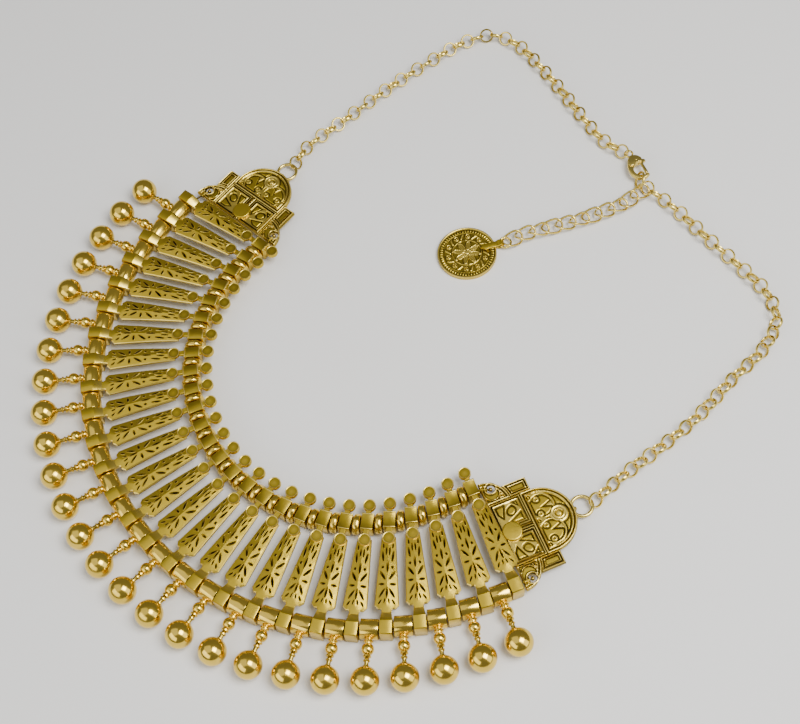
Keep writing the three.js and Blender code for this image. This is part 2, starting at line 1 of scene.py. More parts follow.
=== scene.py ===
# %% [markdown]
# # An antique brass bib necklace
#
# The necklace is a fan of twenty-seven carved bars, strung on two threads between two end plaques, with
# a ball drop between each pair of bars. This notebook dresses the plain frame of the part with the forms
# and finishes of the real one: chip carving, beads, soldered ornament, real chain links and old brass.
# All shapes are modelled in millimetres, laid out round the middle of the bib's arc, and moved into the
# frame's place when they are finished.

# %% Load the frame
import math

import bmesh
import bpy
import numpy as np
from mathutils import Matrix, Vector


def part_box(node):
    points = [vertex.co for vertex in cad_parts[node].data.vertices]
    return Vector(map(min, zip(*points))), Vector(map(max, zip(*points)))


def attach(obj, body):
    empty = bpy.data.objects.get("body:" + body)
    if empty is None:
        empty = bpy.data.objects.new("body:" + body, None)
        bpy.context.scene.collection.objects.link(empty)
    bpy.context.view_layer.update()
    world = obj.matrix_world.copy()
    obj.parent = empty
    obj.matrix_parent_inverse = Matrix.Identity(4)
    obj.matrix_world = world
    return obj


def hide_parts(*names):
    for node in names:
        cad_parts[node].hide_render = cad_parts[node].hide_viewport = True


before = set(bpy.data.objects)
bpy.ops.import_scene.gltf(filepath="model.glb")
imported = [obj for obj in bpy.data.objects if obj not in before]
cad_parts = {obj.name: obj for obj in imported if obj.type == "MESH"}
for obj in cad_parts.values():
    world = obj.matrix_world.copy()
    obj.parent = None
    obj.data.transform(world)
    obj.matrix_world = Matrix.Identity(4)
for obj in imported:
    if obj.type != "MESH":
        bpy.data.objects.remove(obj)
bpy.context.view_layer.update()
MM = 0.001
print("frame nodes:", len(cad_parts))

# %% [markdown]
# ## Where things lie
#
# The bars' inner tips lie on one circle, and their directions spread a little less than the tips do, so
# that the fan opens evenly. The same few numbers that drive the frame drive the dressing. The middle of
# the tip circle is found from the box of the coin's small ring, and the threads' height from a strand's.

# %% The fan's layout
BAR_COUNT = 27
MIDDLE = BAR_COUNT // 2
TIP_CIRCLE_R = 47.0
TIP_STEP = math.radians(176.3 / (BAR_COUNT - 1))
BAR_STEP = math.radians(148.7 / (BAR_COUNT - 1))
FAN_AXIS = math.radians(-90 - 1.4)

DISC_R = 1.75
INNER_COLLAR_AT = 4.7
MID_DISC_AT = 10.0
PLATE_END = 29.7
OUTER_COLLAR_AT = 34.2
PLATE_TOP = 5.4
PLATE_BOTTOM = 4.2

COIN_RING_AT = Vector((-4.9, 56.2, 0))
ring_low, ring_high = (Vector(corner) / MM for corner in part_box("coin_ring"))
FAN_CENTRE = (ring_low + ring_high) / 2 - COIN_RING_AT
FAN_CENTRE.z = 0
RAIL_Z = (Vector(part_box("inner_strand_left")[1]) / MM).z / 2


def bar_direction(i):
    """The direction in which bar number i points, from its tip outwards."""
    return FAN_AXIS + (i - MIDDLE) * BAR_STEP


def on_bar(i, distance, z=RAIL_Z):
    """The place on the axis of bar i, at a distance from its tip; i may lie between two bars."""
    tip = FAN_AXIS + (i - MIDDLE) * TIP_STEP
    way = bar_direction(i)
    x = TIP_CIRCLE_R * math.cos(tip) + distance * math.cos(way)
    y = TIP_CIRCLE_R * math.sin(tip) + distance * math.sin(way)
    return Vector((x, y, z))


def strand_direction(side, i):
    """The direction of a strand where it crosses bar i, away from the middle bar."""
    direction = bar_direction(i)
    return Vector((-side * math.sin(direction), side * math.cos(direction), 0))


def turned_to(place, angle):
    """The matrix that carries a shape from the origin to a place, turned about Z."""
    return Matrix.Translation(place) @ Matrix.Rotation(angle, 4, "Z")


def aimed(place, run):
    """The matrix that carries a shape from the origin to a place, with its Z axis along a run."""
    return Matrix.Translation(place) @ run.to_track_quat("Z", "Y").to_matrix().to_4x4()


print("fan centre:", tuple(round(c, 3) for c in FAN_CENTRE), "rail height:", round(RAIL_Z, 3))

# %% [markdown]
# ## Helpers for turned and stamped metal
#
# Nearly everything here was turned on a lathe, bent from wire or cast in a flat mould. A turned piece is
# a profile that is spun; a ring is a small section that is spun round a larger circle. Patina, the dark
# tarnish in hollows, and wear, the bright metal on high edges, are stored at each vertex, so that the
# finish can follow the shape.
# The bright layer also carries a painted highlight on the outer collars' sloping necks.


# %% Mesh helpers
def new_shape():
    """An empty mesh in millimetres with its two finish layers."""
    shape = bmesh.new()
    shape.verts.layers.float.new("patina")
    shape.verts.layers.float.new("wear_and_highlight")
    return shape


def tint(shape, verts, patina=0.0, wear_and_highlight=0.0):
    """Marks vertices with tarnish and with brightness: rubbed metal, and on the outer collars' necks a painted
    highlight.
    """
    dark = shape.verts.layers.float["patina"]
    bright = shape.verts.layers.float["wear_and_highlight"]
    for vert in verts:
        vert[dark], vert[bright] = patina, wear_and_highlight


def verts_in(items):
    """The vertices among the things that an operation made."""
    return [item for item in items if isinstance(item, bmesh.types.BMVert)]


def edges_at(verts):
    """All edges at some vertices, each once."""
    return list({edge for vert in verts for edge in vert.link_edges})


def outward(shape):
    """Turns all faces outwards."""
    bmesh.ops.recalc_face_normals(shape, faces=shape.faces[:])
    return shape


def crease(shape, degrees=35):
    """Smooths the faces and keeps the edges sharper than an angle."""
    for face in shape.faces:
        face.smooth = True
    for edge in shape.edges:
        edge.smooth = edge.calc_face_angle(0) < math.radians(degrees)
    return shape


def rounded(shape, edges, width, segments=2):
    """Rounds some edges over."""
    bmesh.ops.bevel(
        shape, geom=edges, offset=width, offset_type="OFFSET", segments=segments, profile=0.5,
        affect="EDGES", material=-1, clamp_overlap=True,
    )
    return shape


def soften(shape, width, degrees=50, segments=2):
    """Rounds every edge that is sharper than an angle."""
    sharp = [edge for edge in shape.edges if edge.calc_face_angle(0) > math.radians(degrees)]
    return rounded(shape, sharp, width, segments)


def fill(shape, edges):
    """Fills a flat outline and leaves the outlines inside it open."""
    made = bmesh.ops.triangle_fill(shape, use_beauty=True, use_dissolve=False, edges=edges)["geom"]
    return [item for item in made if isinstance(item, bmesh.types.BMFace)]


def thickened(shape, faces, width):
    """Draws flat faces out to half a width on both sides of z = 0."""
    drawn = bmesh.ops.extrude_face_region(shape, geom=faces)["geom"]
    bmesh.ops.translate(shape, vec=(0, 0, width), verts=verts_in(drawn))
    bmesh.ops.translate(shape, vec=(0, 0, -width / 2), verts=shape.verts[:])
    return outward(shape)


def drawn_from_rim(shape):
    """Adds a row of faces along a shape's open rim and gives the row's new vertices."""
    rim = [edge for edge in shape.edges if edge.is_boundary]
    return verts_in(bmesh.ops.extrude_edge_only(shape, edges=rim)["geom"])


def closed_below(shape, back, patina):
    """Draws a shape's open rim down to its flat back and closes that."""
    foot = drawn_from_rim(shape)
    tint(shape, foot, patina=patina)
    for vert in foot:
        vert.co.z = back
    fill(shape, [edge for edge in shape.edges if edge.is_boundary])
    return outward(shape)


def spun(shape, steps):
    """Spins the lines of a shape round Z into a closed solid."""
    bmesh.ops.spin(
        shape, geom=shape.verts[:] + shape.edges[:], cent=(0, 0, 0), axis=(0, 0, 1), angle=math.tau,
        steps=steps, use_merge=True,
    )
    bmesh.ops.remove_doubles(shape, verts=shape.verts[:], dist=1e-4)
    return outward(shape)


def turned(profile, steps):
    """A solid of revolution round Z from (radius, height) points."""
    shape = new_shape()
    verts = [shape.verts.new((radius, 0, height)) for radius, height in profile]
    for pair in zip(verts, verts[1:]):
        shape.edges.new(pair)
    return spun(shape, steps)


def ring(radius, thick, wide, steps=24, sides=8):
    """A closed ring round Z: a section of given thickness and width, spun round a circle."""
    shape = new_shape()
    section = bmesh.ops.create_circle(shape, cap_ends=False, segments=sides, radius=0.5)["verts"]
    size = Matrix.Diagonal((thick, wide, 1, 1)) @ Matrix.Rotation(math.pi / sides, 4, "Z")
    place = Matrix.Translation((radius, 0, 0)) @ Matrix.Rotation(math.pi / 2, 4, "X")
    bmesh.ops.transform(shape, matrix=place @ size, verts=section)
    return spun(shape, steps)


def keep(shape, name):
    """Stores a finished shape as a mesh that can be stamped many times."""
    mesh = bpy.data.meshes.new(name)
    shape.to_mesh(mesh)
    shape.free()
    return mesh


def stamp(target, mesh, matrix=Matrix()):
    """Adds a copy of a stored mesh to a shape, moved by a matrix."""
    copy = mesh.copy()
    copy.transform(matrix)
    target.from_mesh(copy)
    bpy.data.meshes.remove(copy)


def placed(mesh, matrix):
    """A new shape with one copy of a stored mesh."""
    shape = new_shape()
    stamp(shape, mesh, matrix)
    return shape


def into_scene(name, data):
    """A new object of the scene."""
    made = bpy.data.objects.new(name, data)
    bpy.context.scene.collection.objects.link(made)
    return made


def publish(shape, name, finish, replaced, body="necklace"):
    """Moves a shape into the frame's place and makes it an object of the scene."""
    bmesh.ops.translate(shape, vec=FAN_CENTRE, verts=shape.verts[:])
    bmesh.ops.scale(shape, vec=(MM, MM, MM), verts=shape.verts[:])
    piece = into_scene(name, keep(shape, name))
    piece.data.materials.append(finish)
    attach(piece, body)
    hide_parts(*replaced)


# %% [markdown]
# ## Old brass
#
# The real necklace is cast and plated to look like antique gold: an olive yellow with dark brown tarnish
# in every cut and bright rubbed edges. One node group mixes these from the two stored layers and from a
# soft noise, and each finish places it with its own colours. The surface's small waviness and scratches
# come from a second group, so that polished balls and satin plates share one kind of handling marks.
# The bright layer that the group mixes in also carries a painted highlight on the outer collars' sloping necks.


# %% Node groups
def group_with(name, inputs, outputs):
    """A shader node group; an input is a number, or a colour with four values."""
    group = bpy.data.node_groups.new(name, "ShaderNodeTree")
    for label, value in inputs.items():
        kind = "NodeSocketFloat" if isinstance(value, float) else "NodeSocketColor"
        group.interface.new_socket(label, in_out="INPUT", socket_type=kind).default_value = value
    for label, kind in outputs.items():
        group.interface.new_socket(label, in_out="OUTPUT", socket_type=kind)
    given, result = group.nodes.new("NodeGroupInput"), group.nodes.new("NodeGroupOutput")
    return group, given.outputs, result.inputs


def node(tree, kind, inputs, **settings):
    """A node with its settings and its inputs, which are numbers or sockets."""
    made = tree.nodes.new(kind)
    for key, value in settings.items():
        setattr(made, key, value)
    for key, value in inputs.items():
        if isinstance(value, bpy.types.NodeSocket):
            tree.links.new(value, made.inputs[key])
        else:
            made.inputs[key].default_value = value
    return made


def blend_colours(tree, factor, first, second):
    """Mixes two colours by a factor."""
    return node(tree, "ShaderNodeMix", {0: factor, 6: first, 7: second}, data_type="RGBA").outputs[2]


def combined(tree, operation, first, second, clamp=False):
    """The sum, product or maximum of two numbers."""
    ends = {0: first, 1: second}
    return node(tree, "ShaderNodeMath", ends, operation=operation, use_clamp=clamp).outputs[0]


def rescaled(tree, value, from_min, from_max, to_min, to_max):
    """A number carried from one range to another."""
    ends = {"From Min": from_min, "From Max": from_max, "To Min": to_min, "To Max": to_max}
    return node(tree, "ShaderNodeMapRange", {"Value": value, **ends}).outputs[0]


def noise(tree, place, scale, detail=2.0):
    """A soft noise from 0 to 1."""
    inputs = {"Vector": place, "Scale": scale, "Detail": detail}
    return node(tree, "ShaderNodeTexNoise", inputs).outputs["Fac"]


def stored(tree, layer):
    """A layer that is stored at the vertices."""
    return node(tree, "ShaderNodeAttribute", {}, attribute_name=layer).outputs["Fac"]


def old_brass_group():
    """Colour and roughness of brass with tarnished hollows, rubbed edges and painted highlights."""
    group, given, result = group_with(
        "old brass",
        {
            "Metal": (0.7, 0.5, 0.15, 1), "Shade": (0.4, 0.3, 0.08, 1), "Rubbed And Highlight": (0.9, 0.75, 0.4, 1),
            "Tarnish": (0.03, 0.02, 0.01, 1), "Smooth Roughness": 0.2, "Dull Roughness": 0.5,
            "Tone Size": 150.0, "Tone Amount": 0.5,
        },
        {"Color": "NodeSocketColor", "Roughness": "NodeSocketFloat"},
    )
    place = node(group, "ShaderNodeTexCoord", {}).outputs["Object"]
    tone = noise(group, place, given["Tone Size"], 3.0)
    shade = rescaled(group, tone, 0.35, 0.7, 0.0, given["Tone Amount"])
    base = blend_colours(group, shade, given["Metal"], given["Shade"])
    rubbed_and_highlight = blend_colours(group, stored(group, "wear_and_highlight"), base, given["Rubbed And Highlight"])
    fleck = rescaled(group, tone, 0.3, 0.7, 0.85, 1.1)
    uneven = combined(group, "MULTIPLY", stored(group, "patina"), fleck, clamp=True)
    dark = blend_colours(group, uneven, rubbed_and_highlight, given["Tarnish"])
    dulled = combined(group, "MAXIMUM", shade, uneven)
    rough = rescaled(group, dulled, 0.0, 1.0, given["Smooth Roughness"], given["Dull Roughness"])
    group.links.new(dark, result["Color"])
    group.links.new(rough, result["Roughness"])
    return group


def handling_group():
    """A height of soft dents and fine scratches, for a Bump node."""
    group, given, result = group_with(
        "handling marks", {"Dent Size": 400.0, "Dents": 1.0, "Scratches": 0.3}, {"Height": "NodeSocketFloat"}
    )
    place = node(group, "ShaderNodeTexCoord", {}).outputs["Object"]
    stretch = {"Vector": place, "Rotation": (0, 0, 0.6), "Scale": (1, 9, 1)}
    stretched = node(group, "ShaderNodeMapping", stretch).outputs[0]
    dents = combined(group, "MULTIPLY", noise(group, place, given["Dent Size"]), given["Dents"])
    scratches = combined(group, "MULTIPLY", noise(group, stretched, 900.0), given["Scratches"])
    group.links.new(combined(group, "ADD", dents, scratches), result["Height"])
    return group


OLD_BRASS = old_brass_group()
HANDLING = handling_group()
print("groups:", OLD_BRASS.name, "and", HANDLING.name)

# %% Finishes
TARNISH = (0.016, 0.01, 0.004, 1)
BUMP_DEPTH = 0.0001


def brass_finish(name, metal, shade, rubbed_and_highlight, smooth, dull, tone_amount, dents, scratches, bump):
    """A metal finish that places both groups with its own values."""
    finish = bpy.data.materials.new(name)
    finish.use_nodes = True
    tree = finish.node_tree
    shader = tree.nodes["Principled BSDF"]
    shader.inputs["Metallic"].default_value = 1.0
    look = {
        "Metal": metal, "Shade": shade, "Rubbed And Highlight": rubbed_and_highlight, "Tarnish": TARNISH, "Smooth Roughness": smooth,
        "Dull Roughness": dull, "Tone Amount": tone_amount,
    }
    brass = node(tree, "ShaderNodeGroup", look, node_tree=OLD_BRASS)
    marks = node(tree, "ShaderNodeGroup", {"Dents": dents, "Scratches": scratches}, node_tree=HANDLING)
    height = {"Height": marks.outputs["Height"], "Strength": bump, "Distance": BUMP_DEPTH}
    relief = node(tree, "ShaderNodeBump", height)
    tree.links.new(brass.outputs["Color"], shader.inputs["Base Color"])
    tree.links.new(brass.outputs["Roughness"], shader.inputs["Roughness"])
    tree.links.new(relief.outputs["Normal"], shader.inputs["Normal"])
    return finish


SATIN = brass_finish(
    "satin antique brass", (0.66, 0.47, 0.045, 1), (0.42, 0.29, 0.02, 1), (0.92, 0.72, 0.2, 1),
    smooth=0.27, dull=0.45, tone_amount=0.6, dents=1.0, scratches=0.35, bump=0.35,
)
POLISHED = brass_finish(
    "polished antique brass", (0.82, 0.58, 0.09, 1), (0.62, 0.42, 0.045, 1), (0.97, 0.8, 0.3, 1),
    smooth=0.15, dull=0.32, tone_amount=0.45, dents=0.5, scratches=0.15, bump=0.15,
)
WIRE = brass_finish(
    "chain brass", (0.78, 0.6, 0.15, 1), (0.56, 0.41, 0.08, 1), (0.95, 0.82, 0.38, 1),
    smooth=0.2, dull=0.42, tone_amount=0.45, dents=0.6, scratches=0.3, bump=0.25,
)
print("finishes:", SATIN.name, POLISHED.name, WIRE.name)

# %% [markdown]
# ## The carved bars
#
# Each bar is a flat casting: a long plate with a low ridge down its middle and a slight bow along it, a
# round disc at its inner tip and another where the plate begins, and two collars under which the threads
# pass. The plate looks chip carved, a flower of leaf-shaped cuts near the wide end and a fringe of cuts
# at the narrow one. A cut is made as a carver makes it: its outline is drawn on the plate, a lip is
# thrown up round it, and its middle is sunk. One bar is made and stamped 27 times.

# %% One plate, with its outline and its cuts
PLATE_HALF_WIDE = 3.25
PLATE_HALF_NARROW = 1.95
TAPER_LONG = 18.5  # the taper's line goes from narrow to wide over this length
TAPER_AT = (22.5, 16.0)
NECK_HALF = 1.3
RIDGE_RISE = 0.2
EDGE_DROP = 0.34
EDGE_ROUND = 0.2
LIP_WIDE = 0.1
LIP_RISE = 0.09
CUT_WALL = 0.12  # depth of a cut's steep wall, and below it of the slope to its middle
CUT_SLOPE = 0.4
FLOWER_AT = 23.1
CROWN = 0.0032  # the plate is bowed lengthwise by this much per square millimetre
CROWN_AT = 21.0

# Each cut: distance from the tip, side step, half length, half width, turn in degrees.
PAIRED_CUTS = (
    (25.5, 1.3, 1.45, 0.3, 31),
    (27.9, 1.8, 0.75, 0.22, 33),
    (27.6, 0.55, 0.7, 0.17, 12),
    (FLOWER_AT, 1.5, 0.75, 0.32, 90),
    (20.6, 1.3, 1.45, 0.32, -31),
    (18.4, 1.3, 0.4, 0.3, 0),
    (15.3, 1.33, 1.5, 0.26, -6),
    (13.9, 0.43, 1.2, 0.19, 0),
    (12.35, 1.25, 0.75, 0.18, -4),
)
MIDDLE_CUTS = ((25.3, 0, 1.5, 0.26, 0), (18.2, 0, 1.6, 0.27, 0))


def plate_outline(margin):
    """The plate's closed outline, from one side of the neck round to the other."""
    wide, narrow, neck = PLATE_HALF_WIDE - margin, PLATE_HALF_NARROW - margin, NECK_HALF - margin
    taper = [(x, narrow + (wide - narrow) * (x - MID_DISC_AT) / TAPER_LONG) for x in TAPER_AT]
    half = [
        (OUTER_COLLAR_AT, neck), (PLATE_END + 0.4, neck), (PLATE_END - margin, neck + 0.3),
        (PLATE_END - margin, wide - 0.9), (PLATE_END - 1.0, wide), *taper, (MID_DISC_AT - 0.3, narrow),
    ]
    return [(x, -y) for x, y in half] + [(x, y) for x, y in reversed(half)]


def ridged(x, y):
    """Height of the plate's top: two planes that meet in a low ridge."""
    fade = min(1.0, max(0.0, (PLATE_END + 0.5 - x) / 1.5))
    bow = CROWN * (min(x, PLATE_END) - CROWN_AT) ** 2
    return PLATE_TOP - bow + fade * (RIDGE_RISE - (RIDGE_RISE + EDGE_DROP) * abs(y) / PLATE_HALF_WIDE)


def loop_of(shape, points):
    """A closed chain of edges through flat points."""
    verts = [shape.verts.new((x, y, 0)) for x, y in points]
    return [shape.edges.new(pair) for pair in zip(verts, verts[1:] + verts[:1])]


def leaf_cut(shape, at, aside, half_length, half_width, turn):
    """The outline of one cut, pointed like a leaf."""
    verts = bmesh.ops.create_circle(shape, cap_ends=False, segments=14, radius=1)["verts"]
    for vert in verts:
        vert.co.y = math.copysign(max(0.0, 1 - vert.co.x ** 2) ** 0.4, vert.co.y)
    size = Matrix.Diagonal((half_length + LIP_WIDE, half_width + LIP_WIDE, 1, 1))
    bmesh.ops.transform(shape, matrix=turned_to((at, aside, 0), math.radians(turn)) @ size, verts=verts)
    return edges_at(verts)


def carved_plate():
    """The plate's top with its cuts, open along its edge."""
    shape = new_shape()
    edges = loop_of(shape, plate_outline(EDGE_ROUND))
    cuts = [leaf_cut(shape, *row) for row in MIDDLE_CUTS]
    for at, aside, half_length, half_width, turn in PAIRED_CUTS:
        cuts += [leaf_cut(shape, at, way * aside, half_length, half_width, way * turn) for way in (-1, 1)]
    fill(shape, edges + [edge for cut in cuts for edge in cut])
    floors = [face for cut in cuts for face in bmesh.ops.edgeloop_fill(shape, edges=cut)["faces"]]
    outward(shape)
    if sum(face.normal.z for face in shape.faces) < 0:
        bmesh.ops.reverse_faces(shape, faces=shape.faces[:])
    for share, depth, marks in ((0.7, LIP_RISE, {"wear_and_highlight": 1.0}), (0.6, -CUT_WALL, {"patina": 0.85})):
        width = LIP_WIDE * share
        bmesh.ops.inset_individual(shape, faces=floors, thickness=width, depth=depth, use_even_offset=True)
        tint(shape, {vert for face in floors for vert in face.verts}, **marks)
    sunk = bmesh.ops.poke(shape, faces=floors, offset=-CUT_SLOPE)
    tint(shape, sunk["verts"], patina=1.0)
    everything = shape.verts[:] + shape.edges[:] + shape.faces[:]
    bmesh.ops.bisect_plane(shape, geom=everything, dist=1e-4, plane_co=(0, 0, 0), plane_no=(0, 1, 0))
    for vert in shape.verts:
        vert.co.z += ridged(vert.co.x, vert.co.y)
    return shape


def with_walls(shape):
    """Rounds the plate's edge over and closes it down to its flat back."""
    outer, inner = plate_outline(0), plate_outline(EDGE_ROUND)
    shoulder = drawn_from_rim(shape)
    tint(shape, shoulder, wear_and_highlight=0.9)
    for vert in shoulder:
        gap, nearest = min(((Vector(corner) - vert.co.xy).length, k) for k, corner in enumerate(inner))
        if gap < 1e-3:
            vert.co.x, vert.co.y = outer[nearest]
        vert.co.z -= EDGE_ROUND
    return closed_below(shape, PLATE_BOTTOM, 0.25)


plate_mesh = keep(crease(with_walls(carved_plate()), 14), "carved plate")
print("carved plate faces:", len(plate_mesh.polygons))

# %% [markdown]
# ## Discs and collars
#
# The discs are like small coins with a thin raised rim. The collars are sleeves with a bore for the
# thread: the inner one has a sunk panel between two lips, and the outer one is a plain strap whose front
# edge is turned down. A collar's side view, with its bore, is filled and then drawn out across the bar.

# %% Discs and collars
DISC_TOP = 5.65
COLLAR_LOW = RAIL_Z - 2.4
COLLAR_TOP = PLATE_TOP + 0.15
COLLAR_WIDE = 3.3
BORE_R = 1.1
LIP = 0.36
INNER_HALF = 2.35
OUTER_HALF = 2.7
PANEL_SINK = 0.18
STRAP_LONG = 3.8
STRAP_TOP = PLATE_TOP + 0.9
STRAP_FOOT = -OUTER_HALF - 1.3


def disc(low, high):
    """A small disc with a thin raised rim."""
    profile = [
        (0, low), (DISC_R - 0.1, low), (DISC_R, low + 0.1), (DISC_R, high - 0.12), (DISC_R - 0.1, high),
        (DISC_R - 0.23, high), (DISC_R - 0.35, high - 0.1), (0, high - 0.07),
    ]
    shape = turned(profile, 28)
    for vert in shape.verts:
        if vert.co.z > high - 0.02:
            tint(shape, [vert], wear_and_highlight=0.7)
        elif DISC_R - 0.5 < vert.co.xy.length < DISC_R - 0.3:
            tint(shape, [vert], patina=0.45)
    return keep(crease(shape, 40), "disc")


def collar(side_view, softness):
    """A sleeve across the bar, from its side view as (distance from its middle, height)."""
    shape = new_shape()
    edges = loop_of(shape, side_view)
    bore = bmesh.ops.create_circle(shape, cap_ends=False, segments=16, radius=BORE_R)["verts"]
    bmesh.ops.translate(shape, vec=(0, RAIL_Z, 0), verts=bore)
    thickened(shape, fill(shape, edges + edges_at(bore)), COLLAR_WIDE)
    bmesh.ops.transform(shape, matrix=Matrix.Rotation(math.pi / 2, 4, "X"), verts=shape.verts[:])
    corners = [
        edge for edge in shape.edges
        if edge.calc_face_angle(0) > math.radians(55)
        and all(math.hypot(vert.co.x, vert.co.z - RAIL_Z) > BORE_R + 0.1 for vert in edge.verts)
    ]
    return rounded(shape, corners, softness)


inner_view = [
    (-INNER_HALF, COLLAR_LOW), (INNER_HALF, COLLAR_LOW), (INNER_HALF, COLLAR_TOP - 0.25),
    (INNER_HALF - 0.15, COLLAR_TOP), (INNER_HALF - LIP, COLLAR_TOP),
    (INNER_HALF - LIP - 0.1, COLLAR_TOP - PANEL_SINK), (-INNER_HALF + LIP + 0.1, COLLAR_TOP - PANEL_SINK),
    (-INNER_HALF + LIP, COLLAR_TOP), (-INNER_HALF, COLLAR_TOP),
]
outer_view = [
    (-OUTER_HALF, COLLAR_LOW), (OUTER_HALF, COLLAR_LOW), (OUTER_HALF, STRAP_TOP - 1.0),
    (OUTER_HALF - 0.12, STRAP_TOP - 0.25), (OUTER_HALF - 0.35, STRAP_TOP),
    (OUTER_HALF - STRAP_LONG, STRAP_TOP + 0.05), (STRAP_FOOT, PLATE_TOP - 0.5), (STRAP_FOOT, PLATE_BOTTOM),
    (-OUTER_HALF, PLATE_BOTTOM),
]
inner_shape = collar(inner_view, 0.08)
for vert in inner_shape.verts:
    if vert.co.z > COLLAR_TOP - 0.05:
        tint(inner_shape, [vert], wear_and_highlight=0.6)
    elif vert.co.z > COLLAR_TOP - PANEL_SINK - 0.05 and abs(vert.co.x) < INNER_HALF - 0.1:
        tint(inner_shape, [vert], patina=0.3)
inner_collar = keep(crease(inner_shape, 30), "inner collar")
outer_shape = collar(outer_view, 0.09)
# Past the strap the neck narrows to its foot and is painted bright: a painted highlight on the sloping neck.
for vert in outer_shape.verts:
    past_strap = OUTER_HALF - STRAP_LONG - vert.co.x
    if past_strap > 0.3:
        vert.co.y *= 1 - 0.25 * past_strap / COLLAR_WIDE
        tint(outer_shape, [vert], wear_and_highlight=0.6)
outer_collar = keep(crease(outer_shape, 25), "outer collar")

# %% Stamp the 27 bars
spine_low = Vector((DISC_R - 0.3, -0.8, PLATE_BOTTOM + 0.1))
spine_high = Vector((MID_DISC_AT - 0.5, 0.8, PLATE_TOP - 0.1))
spine_size = Matrix.Diagonal((*(spine_high - spine_low), 1))
spine = new_shape()
bmesh.ops.create_cube(spine, size=1, matrix=Matrix.Translation((spine_low + spine_high) / 2) @ spine_size)

bar_shape = new_shape()
for mesh, at in (
    (plate_mesh, 0), (keep(crease(soften(spine, 0.2, segments=1), 40), "spine"), 0),
    (disc(PLATE_BOTTOM, DISC_TOP), 0), (disc(PLATE_BOTTOM + 0.5, DISC_TOP + 0.02), MID_DISC_AT),
    (inner_collar, INNER_COLLAR_AT), (outer_collar, OUTER_COLLAR_AT),
):
    stamp(bar_shape, mesh, Matrix.Translation((at, 0, 0)))
bar_mesh = keep(bar_shape, "whole bar")

for i in range(BAR_COUNT):
    one_bar = placed(bar_mesh, turned_to(on_bar(i, 0, 0), bar_direction(i)))
    publish(one_bar, f"carved_bar_{i + 1:02d}", SATIN, [f"bar_{i + 1:02d}"])
print("one bar's faces:", len(bar_mesh.polygons))

# %% [markdown]
# ## Beads and ball drops
#
# The outer thread carries one tube bead between each pair of bars, and under each tube hangs a drop: a
# small ring, a small ball, two thin rings and a big polished ball. The inner thread carries a rounded
# spacer bead in each gap. All are turned, so each is one spun profile. The cast spacers are a little
# lumpy, which a low, slow wave on their radius gives.

# %% Tube beads and drops
TUBE_R = 2.75
TUBE_HALF = 2.4
BEAD_BORE_R = 0.95
THREAD_R = 0.45
DROP_REACH = 13.9
BALL_R = 3.85
SMALL_BALL_AT = 5.5
SMALL_BALL_R = 1.7


def ball_rows(at, radius, start, end, rows):
    """Points of a ball's outline between two angles from the axis, in degrees."""
    points = []
    for k in range(rows + 1):
        angle = math.radians(start + (end - start) * k / rows)
        points.append((radius * math.sin(angle), at - radius * math.cos(angle)))
    return points


def thin_ring(at, radius, half):
    """A small rounded ring on a turned profile."""
    return [
        (radius - 0.25, at - half), (radius, at - half * 0.6), (radius, at + half * 0.6),
        (radius - 0.25, at + half),
    ]


def bead(edge, belly, steps):
    """A bead from the outline of one end, with the points of its belly between the two ends."""
    profile = [(r, -h) for r, h in edge] + belly + [(r, h) for r, h in reversed(edge)]
    return turned(profile + profile[:1], steps)


tube_edge = [
    (BEAD_BORE_R, TUBE_HALF), (TUBE_R - 0.12, TUBE_HALF), (TUBE_R - 0.03, TUBE_HALF - 0.03),
    (TUBE_R, TUBE_HALF - 0.12),
]
tube_mesh = keep(crease(bead(tube_edge, [], 40), 50), "tube bead")

drop_profile = (
    [(0, TUBE_R - 0.6), (0.9, TUBE_R - 0.5), (0.9, TUBE_R + 0.2)]
    + thin_ring(3.45, 1.25, 0.3)
    + [(0.95, 3.85)]
    + ball_rows(SMALL_BALL_AT, SMALL_BALL_R, 32, 152, 12)
    + thin_ring(7.45, 1.08, 0.3)
    + [(0.55, 8.05)]
    + thin_ring(8.6, 0.92, 0.28)
    + [(0.6, 9.1), (0.6, 9.9)]
    + thin_ring(10.15, 1.0, 0.2)
    + ball_rows(DROP_REACH, BALL_R, 16, 176, 24)
    + [(0, DROP_REACH + BALL_R)]
)
drop_shape = turned(drop_profile, 40)
for vert in drop_shape.verts:
    slim = vert.co.xy.length < 0.75 and TUBE_R < vert.co.z < DROP_REACH - BALL_R + 0.3
    if slim:
        tint(drop_shape, [vert], patina=0.55)
drop_mesh = keep(crease(drop_shape, 38), "ball drop")
drop_rise = math.asin((BALL_R - RAIL_Z) / DROP_REACH)

# %% Spacer beads
SPACER_R = 3.0
SPACER_HALF = 1.05
spacer_edge = [
    (BEAD_BORE_R, SPACER_HALF - 0.15), (2.2, SPACER_HALF), (2.72, SPACER_HALF - 0.2), (2.95, SPACER_HALF - 0.55)
]
spacer_shape = bead(spacer_edge, [(SPACER_R, 0)], 36)
for vert in spacer_shape.verts:
    if vert.co.xy.length > 2:
        turn = math.atan2(vert.co.y, vert.co.x)
        wave = 1 - 0.014 * (1 + math.sin(7 * turn)) - 0.01 * (1 + math.sin(11 * turn + 3 * vert.co.z))
        vert.co.x *= wave
        vert.co.y *= wave
spacer_mesh = keep(crease(spacer_shape, 50), "spacer bead")


# %% String the beads
def along_strand(i, at, side):
    """Carries a turned bead, whose axis is Z, onto the strand between two bars."""
    direction = bar_direction(i)
    return turned_to(on_bar(i, at), direction) @ Matrix.Rotation(-side * math.pi / 2, 4, "X")


